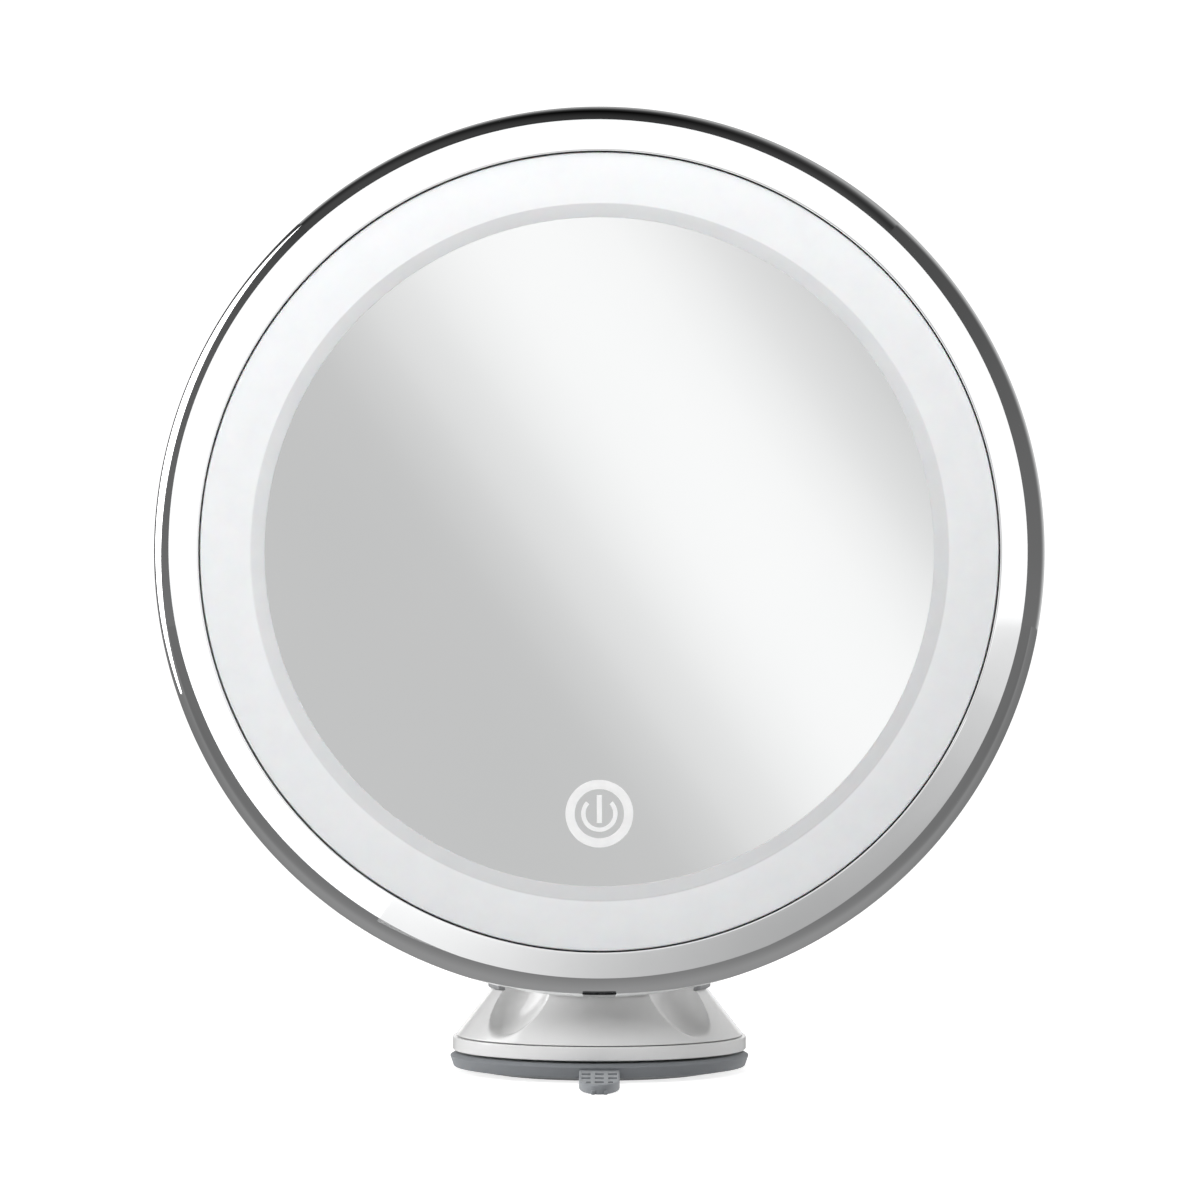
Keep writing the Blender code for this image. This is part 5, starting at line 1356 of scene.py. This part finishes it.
@dataclass
class MirrorGlass:
    """The hollow mirror glass and the mark of its touch switch."""

    radius: float = 78.0 * MM
    curve_radius: float = 560.0 * MM
    edge_depth: float = 3.9 * MM
    edge_cut: float = 0.3 * MM
    thickness: float = 2.5 * MM
    rows: int = 48
    steps: int = 256
    mark_drop: float = 59.6 * MM
    mark_steps: int = 48
    ring_outer: float = 7.73 * MM
    ring_inner: float = 5.61 * MM
    arc_outer: float = 4.15 * MM
    arc_inner: float = 3.15 * MM
    arc_opening: float = math.radians(94.0)
    bar_width: float = 1.19 * MM
    bar_length: float = 6.42 * MM
    bar_rise: float = 1.05 * MM
    bar_round: float = 0.12 * MM
    print_lift: float = 0.07 * MM
    print_thickness: float = 0.06 * MM

    def depth(self, radius: float) -> float:
        """Return the glass's depth at a radius."""
        return self.edge_depth + (self.radius**2 - radius**2) / (2 * self.curve_radius)

    def build(self) -> None:
        """Build the glass and the mark's three pieces."""
        radii = [self.radius * row / self.rows for row in range(self.rows + 1)]
        front = [(radius, -self.depth(radius)) for radius in [*radii[:-1], self.radius - self.edge_cut]]
        front.append((self.radius, -self.depth(self.radius) - self.edge_cut))
        back = [(radius, -self.depth(radius) - self.thickness) for radius in reversed(radii[::6])]
        glass = lathe("mirror_glass_looks", [*front, *back], self.steps, closed=False)
        face_forward(glass)
        dress(glass, SILVERED, Body.HEAD, "mirror_glass")
        lean = math.asin(self.mark_drop / self.curve_radius)
        place = (Matrix.Translation((0, -self.mark_drop, -self.depth(self.mark_drop)))
                 @ Matrix.Rotation(-lean, 4, "X"))
        for piece, node in self.mark():
            move(piece, place)
            face_forward(piece)
            dress(piece, PRINT_WHITE, Body.HEAD, node)

    def mark(self) -> list[tuple[Piece, str]]:
        """Build the mark's ring, arc and bar.

        Returns:
            The pieces, each with the node it stands for.
        """
        low, high = self.print_lift, self.print_lift + self.print_thickness
        ring = lathe("touch_ring_looks", [
            (self.ring_inner, low), (self.ring_inner, high), (self.ring_outer, high), (self.ring_outer, low),
        ], 2 * self.mark_steps)
        half = self.arc_opening / 2
        start, end = RIGHT_ANGLE + half, RIGHT_ANGLE + FULL_TURN - half
        outline = arc((0, 0), self.arc_outer, start, end, self.mark_steps)
        outline += arc((0, 0), self.arc_inner, end, start, self.mark_steps)
        bow = slab("touch_arc_looks", outline, low, self.print_thickness)
        side, size = self.bar_width / 2 - self.bar_round, self.bar_round
        foot, top = (self.bar_rise + way * (self.bar_length / 2 - size) for way in (-1, 1))
        outline = []
        for x, y, first in ((side, foot, -1), (side, top, 0), (-side, top, 1), (-side, foot, 2)):
            outline += arc((x, y), size, first * RIGHT_ANGLE, (first + 1) * RIGHT_ANGLE, 4)
        bar = slab("touch_bar_looks", outline, low, self.print_thickness)
        return [(ring, "icon_ring"), (bow, "icon_arc"), (bar, "icon_bar")]


@dataclass
class RearHousing:
    """The white domed back with its hub boss and four screws."""

    radius: float = 101.5 * MM
    front_depth: float = 7.3 * MM
    edge_cut: float = 0.3 * MM
    skirt_depth: float = 12.5 * MM
    depth: float = 22.03 * MM
    flat_radius: float = 58.0 * MM
    flat_margin: float = 1.0 * MM
    power: float = 2.3
    wall: float = 1.8 * MM
    boss_radius: float = 13.2 * MM
    boss_depth: float = 25.83 * MM
    bore: float = 6.6 * MM
    dome_rows: int = 28
    screw_circle: float = 62.0 * MM
    screw_count: int = 4
    screw_radius: float = 1.5 * MM
    screw_end: float = 15.7 * MM
    screw_gap: float = 0.3 * MM
    screw_head_radius: float = 3.2 * MM
    screw_face_radius: float = 2.9 * MM
    screw_head: float = 1.3 * MM
    recess: Point = (3.4 * MM, 0.7 * MM, 0.8 * MM)
    steps: int = 256

    def build(self) -> None:
        """Build the housing and its screws."""
        cut, flat = self.edge_cut, self.flat_radius - self.flat_margin
        inner_boss, floor = self.boss_radius - self.wall, self.wall - self.depth
        outer = [(self.radius - 2 * cut, -self.front_depth), (self.radius - cut, -self.front_depth - cut)]
        outer += [self.dome(row / self.dome_rows, 0.0) for row in range(self.dome_rows + 1)]
        outer += rounded([
            (flat, -self.depth), (self.boss_radius, -self.depth, 1.6),
            (self.boss_radius, -self.boss_depth, 0.6), (self.bore, -self.boss_depth, 0.3),
            (self.bore, self.wall - self.boss_depth), (inner_boss, self.wall - self.boss_depth),
            (inner_boss, floor), (flat, floor),
        ])
        inner = [self.dome(row / self.dome_rows, self.wall) for row in range(self.dome_rows, -1, -1)]
        outline = [*outer, *inner, (self.radius - self.wall, -self.front_depth)]
        housing = lathe("rear_housing_looks", outline, self.steps)
        face_forward(housing)
        dress(housing, HOUSING_WHITE, Body.HEAD, "rear_housing")
        self.screws()

    def dome(self, share: float, inset: float) -> Pair:
        """Find a point of the dome.

        Args:
            share: Its place, from 0 at the skirt to 1 at the flat.
            inset: How far inside the outer face it lies.

        Returns:
            The point.
        """
        turn = RIGHT_ANGLE * share
        inward = math.cos(turn) ** (2 / self.power) if share < 1 else 0.0
        downward = math.sin(turn) ** (2 / self.power)
        reach = self.radius - self.flat_radius
        drop = self.depth - self.skirt_depth
        return (self.flat_radius + (reach - inset) * inward, -self.skirt_depth - (drop - inset) * downward)

    def screws(self) -> None:
        """Build the four screws, each from one pattern."""
        seat = -self.depth - self.screw_gap
        top = seat - self.screw_head
        pattern = Fastener().screw("screw_pattern", [
            (0.0, -self.screw_end), (self.screw_radius, -self.screw_end, 0.3), (self.screw_radius, seat),
            (self.screw_head_radius, seat, 0.2), (self.screw_face_radius, top, 0.6), (0.0, top),
        ], top, self.recess)
        for index in range(self.screw_count):
            turn = FULL_TURN * (index + 0.5) / self.screw_count
            screw = copy_piece(pattern, f"housing_screw_{index + 1}_looks")
            place = (self.screw_circle * math.cos(turn), self.screw_circle * math.sin(turn), 0)
            move(screw, Matrix.Translation(place) @ Matrix.Rotation(turn * 3, 4, "Z"))
            face_forward(screw)
            dress(screw, STEEL, Body.HEAD, f"housing_screw_{index + 1}")
        bpy.data.objects.remove(pattern, do_unlink=True)


@dataclass
class HiddenParts:
    """The nodes that keep their own shape and only get a finish."""

    finishes: dict[str, Finish] = field(default_factory=lambda: {
        "swivel_washer": NYLON, "cam_plate": NYLON, "puller_stud": STEEL, "cross_pin": STEEL,
        "hub_spindle": STEEL, "spindle_washer": NYLON, "spindle_nut": STEEL, "hub_bush": BRASS,
        "inner_tray": MATT_WHITE, "lamp_board": MATT_WHITE, "touch_sensor_board": BOARD,
        "usb_socket": STEEL, "port_board": BOARD, "control_board": BOARD, "battery_cell": FOIL,
        "battery_pad": FOAM, "battery_lead_red": RED_WIRE, "battery_lead_black": BLACK_WIRE,
    })

    def dress(self) -> None:
        """Give each of these nodes its finish."""
        for name, finish in self.finishes.items():
            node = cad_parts[name]
            if not node.material_slots:
                node.data.materials.append(finish.material())
            for slot in node.material_slots:
                slot.material = finish.material()
            log.info("%s keeps its shape: %s", name, finish.name)


@dataclass
class Card:
    """A reflecting card that only shiny surfaces see."""

    name: str
    corners: Sequence[Point]
    shades: Sequence[Callable[[Tree], Socket]] = ()
    light: float = 1.0
    only_from_above: bool = False
    mixing: str = "MULTIPLY"

    def build(self) -> None:
        """Stand the card up."""
        card = filled(self.name, self.corners)
        edit(False)
        if self.only_from_above and card.data.polygons[0].normal.z < 0:
            edit(True)
            select_all()
            bpy.ops.mesh.flip_normals()
            edit(False)
        card.data.materials.append(self.material())
        for kind in ("camera", "diffuse", "transmission", "volume_scatter", "shadow"):
            setattr(card, f"visible_{kind}", False)

    def material(self) -> bpy.types.Material:
        """Make the card's glowing material.

        Returns:
            The material, clear from below where the card is only to be seen from above.
        """
        made, tree, _ = new_material(self.name)
        tree.nodes.clear()
        glow: dict[str, object] = {"Strength": self.light}
        for shade in self.shades:
            fresh = shade(tree)
            if "Color" in glow:
                fresh = calculate(tree, self.mixing, "Vector", glow["Color"], fresh)
            glow["Color"] = fresh
        surface = add_node(tree, "Emission", "Emission", glow)
        if self.only_from_above:
            side = add_node(tree, "NewGeometry", "Backfacing")
            clear = add_node(tree, "BsdfTransparent", "BSDF")
            surface = add_node(tree, "MixShader", "Shader", {"Fac": side, 1: surface, 2: clear})
        feed(tree, tree.nodes.new("ShaderNodeOutputMaterial"), {"Surface": surface})
        return made


def ramp_along(direction: Point, start: float, end: float, *stops: Pair) -> Callable[[Tree], Socket]:
    """Make a grey ramp along a direction on a card.

    Args:
        direction: The direction.
        start: Where the ramp starts along it.
        end: Where it ends.
        *stops: Pairs of place, from 0 to 1, and brightness.

    Returns:
        A maker of the ramp's nodes.
    """
    def make(tree: Tree) -> Socket:
        """Add the ramp to a material."""
        place = add_node(tree, "TexCoord", "Object")
        along = calculate(tree, "DOT_PRODUCT", "Value", place, direction)
        share = spread(tree, along, start, end, 0.0, 1.0)
        return blend_tones(tree, share, [(stop, (light, light, light)) for stop, light in stops], "CARDINAL")

    return make


def seen_level(tree: Tree, low: float, high: float) -> Socket:
    """Make a level that is higher for the camera's rays and for what shiny and clear surfaces see.

    Args:
        tree: The nodes to add it to.
        low: The level for all other rays.
        high: The level for these rays.

    Returns:
        The level.
    """
    rays = tree.nodes.new("ShaderNodeLightPath").outputs
    seen = rays["Is Camera Ray"]
    for kind in ("Is Glossy Ray", "Is Transmission Ray"):
        seen = add_node(tree, "Math", "Value", {0: seen, 1: rays[kind]}, operation="MAXIMUM")
    return spread(tree, seen, 0.0, 1.0, low, high)


@dataclass
class Studio:
    """Camera, floor, lamps, cards and the white surroundings."""

    camera_place: Point = (0.15 * MM, -1.224, 0.11055)
    lens: float = 156.3
    sensor: float = 36.0
    nearest: float = 0.01
    ambient: float = 0.21
    reflected: float = 1.12
    floor_half: float = 0.6
    floor_glow: float = 0.78
    floor_tone: float = 0.62
    floor_roughness: float = 0.9
    floor_specular: float = 0.1
    aim: Point = (0.0, 0.0, 0.09)
    side: float = 0.7
    back: float = 2.0
    bottom: float = -0.6
    roof: float = 0.9
    ground: float = 5.5 * MM

    def build(self) -> None:
        """Set the studio up."""
        self.surroundings()
        self.camera()
        self.floor()
        self.lamp("key_left", (-1.3, 0.26, 0.35), 0.6, 15.0)
        self.lamp("soft_top", (-0.1, -0.48, 0.66), 0.75, 5.5)
        self.lamp("fill_right", (1.2, 0.75, 0.25), 0.8, 15.0)
        self.upper_cards()
        self.lower_cards()
        self.far_card()
        bpy.context.scene.view_settings.view_transform = "Standard"

    def camera(self) -> None:
        """Stand the camera level in front of the mirror."""
        lens = bpy.data.cameras.new("front_camera")
        lens.lens = self.lens
        lens.sensor_width = self.sensor
        lens.sensor_fit = "HORIZONTAL"
        lens.clip_start = self.nearest
        camera = bpy.data.objects.new("front_camera", lens)
        camera.location = self.camera_place
        camera.rotation_euler = (RIGHT_ANGLE, 0, 0)
        bpy.context.scene.collection.objects.link(camera)
        bpy.context.scene.camera = camera

    def surroundings(self) -> None:
        """Surround the mirror with white for the eye and for shiny surfaces, and soft light for the rest."""
        world = bpy.data.worlds.new("white_studio")
        bpy.context.scene.world = world
        world.use_nodes = True
        tree = world.node_tree
        level = seen_level(tree, self.ambient, self.reflected)
        feed(tree, tree.nodes["Background"], {"Color": FULL_WHITE, "Strength": level})

    def floor(self) -> None:
        """Lay a pale floor that looks white but keeps the shadow."""
        only(None)
        bpy.ops.mesh.primitive_plane_add(size=2 * self.floor_half, location=(0, 0, 0))
        floor = named("studio_floor")
        made, tree, shader = new_material("pale_floor")
        tone = self.floor_tone
        feed(tree, shader, {
            "Base Color": (tone, tone, tone, 1.0), "Roughness": self.floor_roughness,
            "Specular IOR Level": self.floor_specular, "Emission Color": FULL_WHITE,
            "Emission Strength": seen_level(tree, 0.0, self.floor_glow),
        })
        floor.data.materials.append(made)

    def lamp(self, name: str, place: Point, size: float, power: float) -> None:
        """Hang one soft lamp, aimed at the mirror.

        Args:
            name: Its name.
            place: Where it hangs.
            size: Its side.
            power: Its power in watts.
        """
        light = bpy.data.lights.new(name, "AREA")
        light.size = size
        light.energy = power
        lamp = bpy.data.objects.new(name, light)
        lamp.location = place
        lamp.rotation_euler = (Vector(self.aim) - Vector(place)).to_track_quat("-Z", "Y").to_euler()
        lamp.visible_glossy = False
        lamp.visible_camera = False
        bpy.context.scene.collection.objects.link(lamp)

    def upper_cards(self) -> None:
        """Stand the cards at both sides and over the mirror."""
        side, back, low, high = self.side, self.back, self.bottom, self.roof
        along, up = (0, 1, 0), (0, 0, 1)
        Card("right_card", [
            (side, -0.43, low), (side, back, low), (side, back, high), (side, -0.51, high),
            (side, -0.43, 0.4),
        ], [
            ramp_along(up, -0.1, high, (0.0, 0.17), (0.22, 0.15), (0.41, 0.13), (0.62, 0.098), (1.0, 0.07)),
            ramp_along(along, 0.1, 0.7, (0.0, 0.0), (0.15, 0.015), (0.38, 0.12), (0.65, 0.27), (1.0, 0.42)),
        ], mixing="ADD").build()
        Card("top_card", [
            (side, -0.51, high), (0.45, -0.409, high), (0.21, -0.329, high), (0.0, -0.298, high),
            (-0.21, -0.29, high), (-0.45, -0.318, high), (-side, -0.36, high), (-side, back, high),
            (side, back, high),
        ], [
            ramp_along((1, 0, 0), -0.5, 0.5, (0.0, 0.024), (0.29, 0.010), (0.5, 0.001), (0.71, 0.012),
                       (1.0, 0.032)),
            ramp_along((0.35, 1, 0), -0.3, 0.7, (0.0, 0.037), (0.1, 0.034), (0.24, 0.017), (0.35, 0.005),
                       (0.42, 0.002), (0.5, 0.016), (0.6, 0.05), (0.69, 0.11), (0.77, 0.18), (1.0, 0.36)),
        ], mixing="ADD").build()
        Card("left_card", [
            (-side, -0.4, low), (-side, back, low), (-side, back, high), (-side, -0.36, high),
            (-side, -0.314, 0.53), (-side, -0.306, 0.31), (-side, -0.332, 0.12), (-side, -0.38, -0.06),
        ], [
            ramp_along(up, 0.0, high, (0.0, 0.18), (0.13, 0.155), (0.34, 0.125), (0.58, 0.10), (0.91, 0.066),
                       (1.0, 0.055)),
        ]).build()
        Card("left_softbox", self.softbox_outline(), light=3.5).build()

    def lower_cards(self) -> None:
        """Lay the two cards just over the floor, behind the rim's front and before it."""
        side, back, ground = self.side, self.back, self.ground
        across, along = (1, 0, 0), (0, 1, 0)
        near, corner, slant = -0.0605, 0.05, -0.42
        Card("low_card", [
            (-side, -0.365, ground), (-0.04, near, ground), (corner, near, ground), (side, slant, ground),
            (side, back, ground), (-side, back, ground),
        ], [
            ramp_along(along, -0.12, 0.3, (0.0, 0.21), (0.124, 0.205), (0.16, 0.235), (0.181, 0.285),
                       (0.2, 0.30), (0.286, 0.275), (0.405, 0.26), (1.0, 0.24)),
            ramp_along(across, -0.25, 0.25, (0.0, 0.75), (0.268, 0.9), (0.5, 1.0), (0.732, 0.9), (1.0, 0.75)),
        ], only_from_above=True).build()
        start, end, step, front, far_front = -0.07, 0.8, 0.27, -0.6, -1.7
        Card("front_card", [
            (start, front, ground), (step, front, ground), (step, far_front, ground),
            (end, far_front, ground), (end, -0.476, ground), (side, slant, ground), (corner, near, ground),
            (start, near, ground),
        ], [
            ramp_along(across, start, end, (0.0, 0.97), (0.04, 0.87), (0.08, 0.62), (0.132, 0.455),
                       (0.19, 0.43), (0.247, 0.465), (0.32, 0.53), (0.46, 0.645), (0.874, 0.80), (1.0, 0.95)),
            ramp_along(along, near, -0.2, (0.0, 0.88), (1.0, 1.0)),
        ], light=1.15, only_from_above=True).build()

    def far_card(self) -> None:
        """Stand the card behind the camera, which the glass reflects, with its slanting shade."""
        span, far, middle = 0.62, -3.2, 0.12
        pixel = 0.00172
        slant = (-0.82, -0.574)
        offset = -slant[1] * middle / pixel
        Card("far_card", [
            (-span, far, middle - span), (span, far, middle - span), (span, far, middle + span),
            (-span, far, middle + span),
        ], [
            ramp_along((slant[0] / pixel, 0.0, slant[1] / pixel), -350.0 - offset, 350.0 - offset,
                       (0.0, 0.57), (0.24, 0.57), (0.33, 0.605), (0.41, 0.72), (0.50, 0.85), (0.60, 0.97),
                       (0.77, 0.96), (0.86, 0.83), (0.95, 0.69), (1.0, 0.66)),
        ]).build()

    def softbox_outline(self) -> list[Point]:
        """Draw the outline of the left softbox, drawn out to a point at both ends.

        Returns:
            The outline's corners.
        """
        aside, middle, half_height, half_width, lean = -0.35, (0.077, 0.2425), 0.267, 0.123, 0.04
        steps = 24
        points = []
        for way in (-1, 1):
            for step in range(steps):
                share = way * (1 - 2 * step / steps)
                across = -way * half_width * (1 - share**2)
                points.append((aside, middle[0] + lean * share + across, middle[1] + half_height * share))
        return points


def main() -> None:
    """Build the mirror's looks from the pad up, then the studio."""
    logging.basicConfig(level=logging.INFO, format="%(message)s")
    SuctionPad().build()
    BaseHousing().build()
    LockKnob().build()
    SwivelTurret().build()
    PivotSet("lower", LOWER_PIVOT, Body.SWIVEL).build()
    ArmLink().build()
    PivotSet("upper", UPPER_PIVOT, Body.TILT).build()
    TiltYoke().build()
    RearHousing().build()
    MirrorGlass().build()
    LightRing().build()
    ChromeBezel().build()
    HiddenParts().dress()
    Studio().build()


if __name__ == "__main__":
    main()
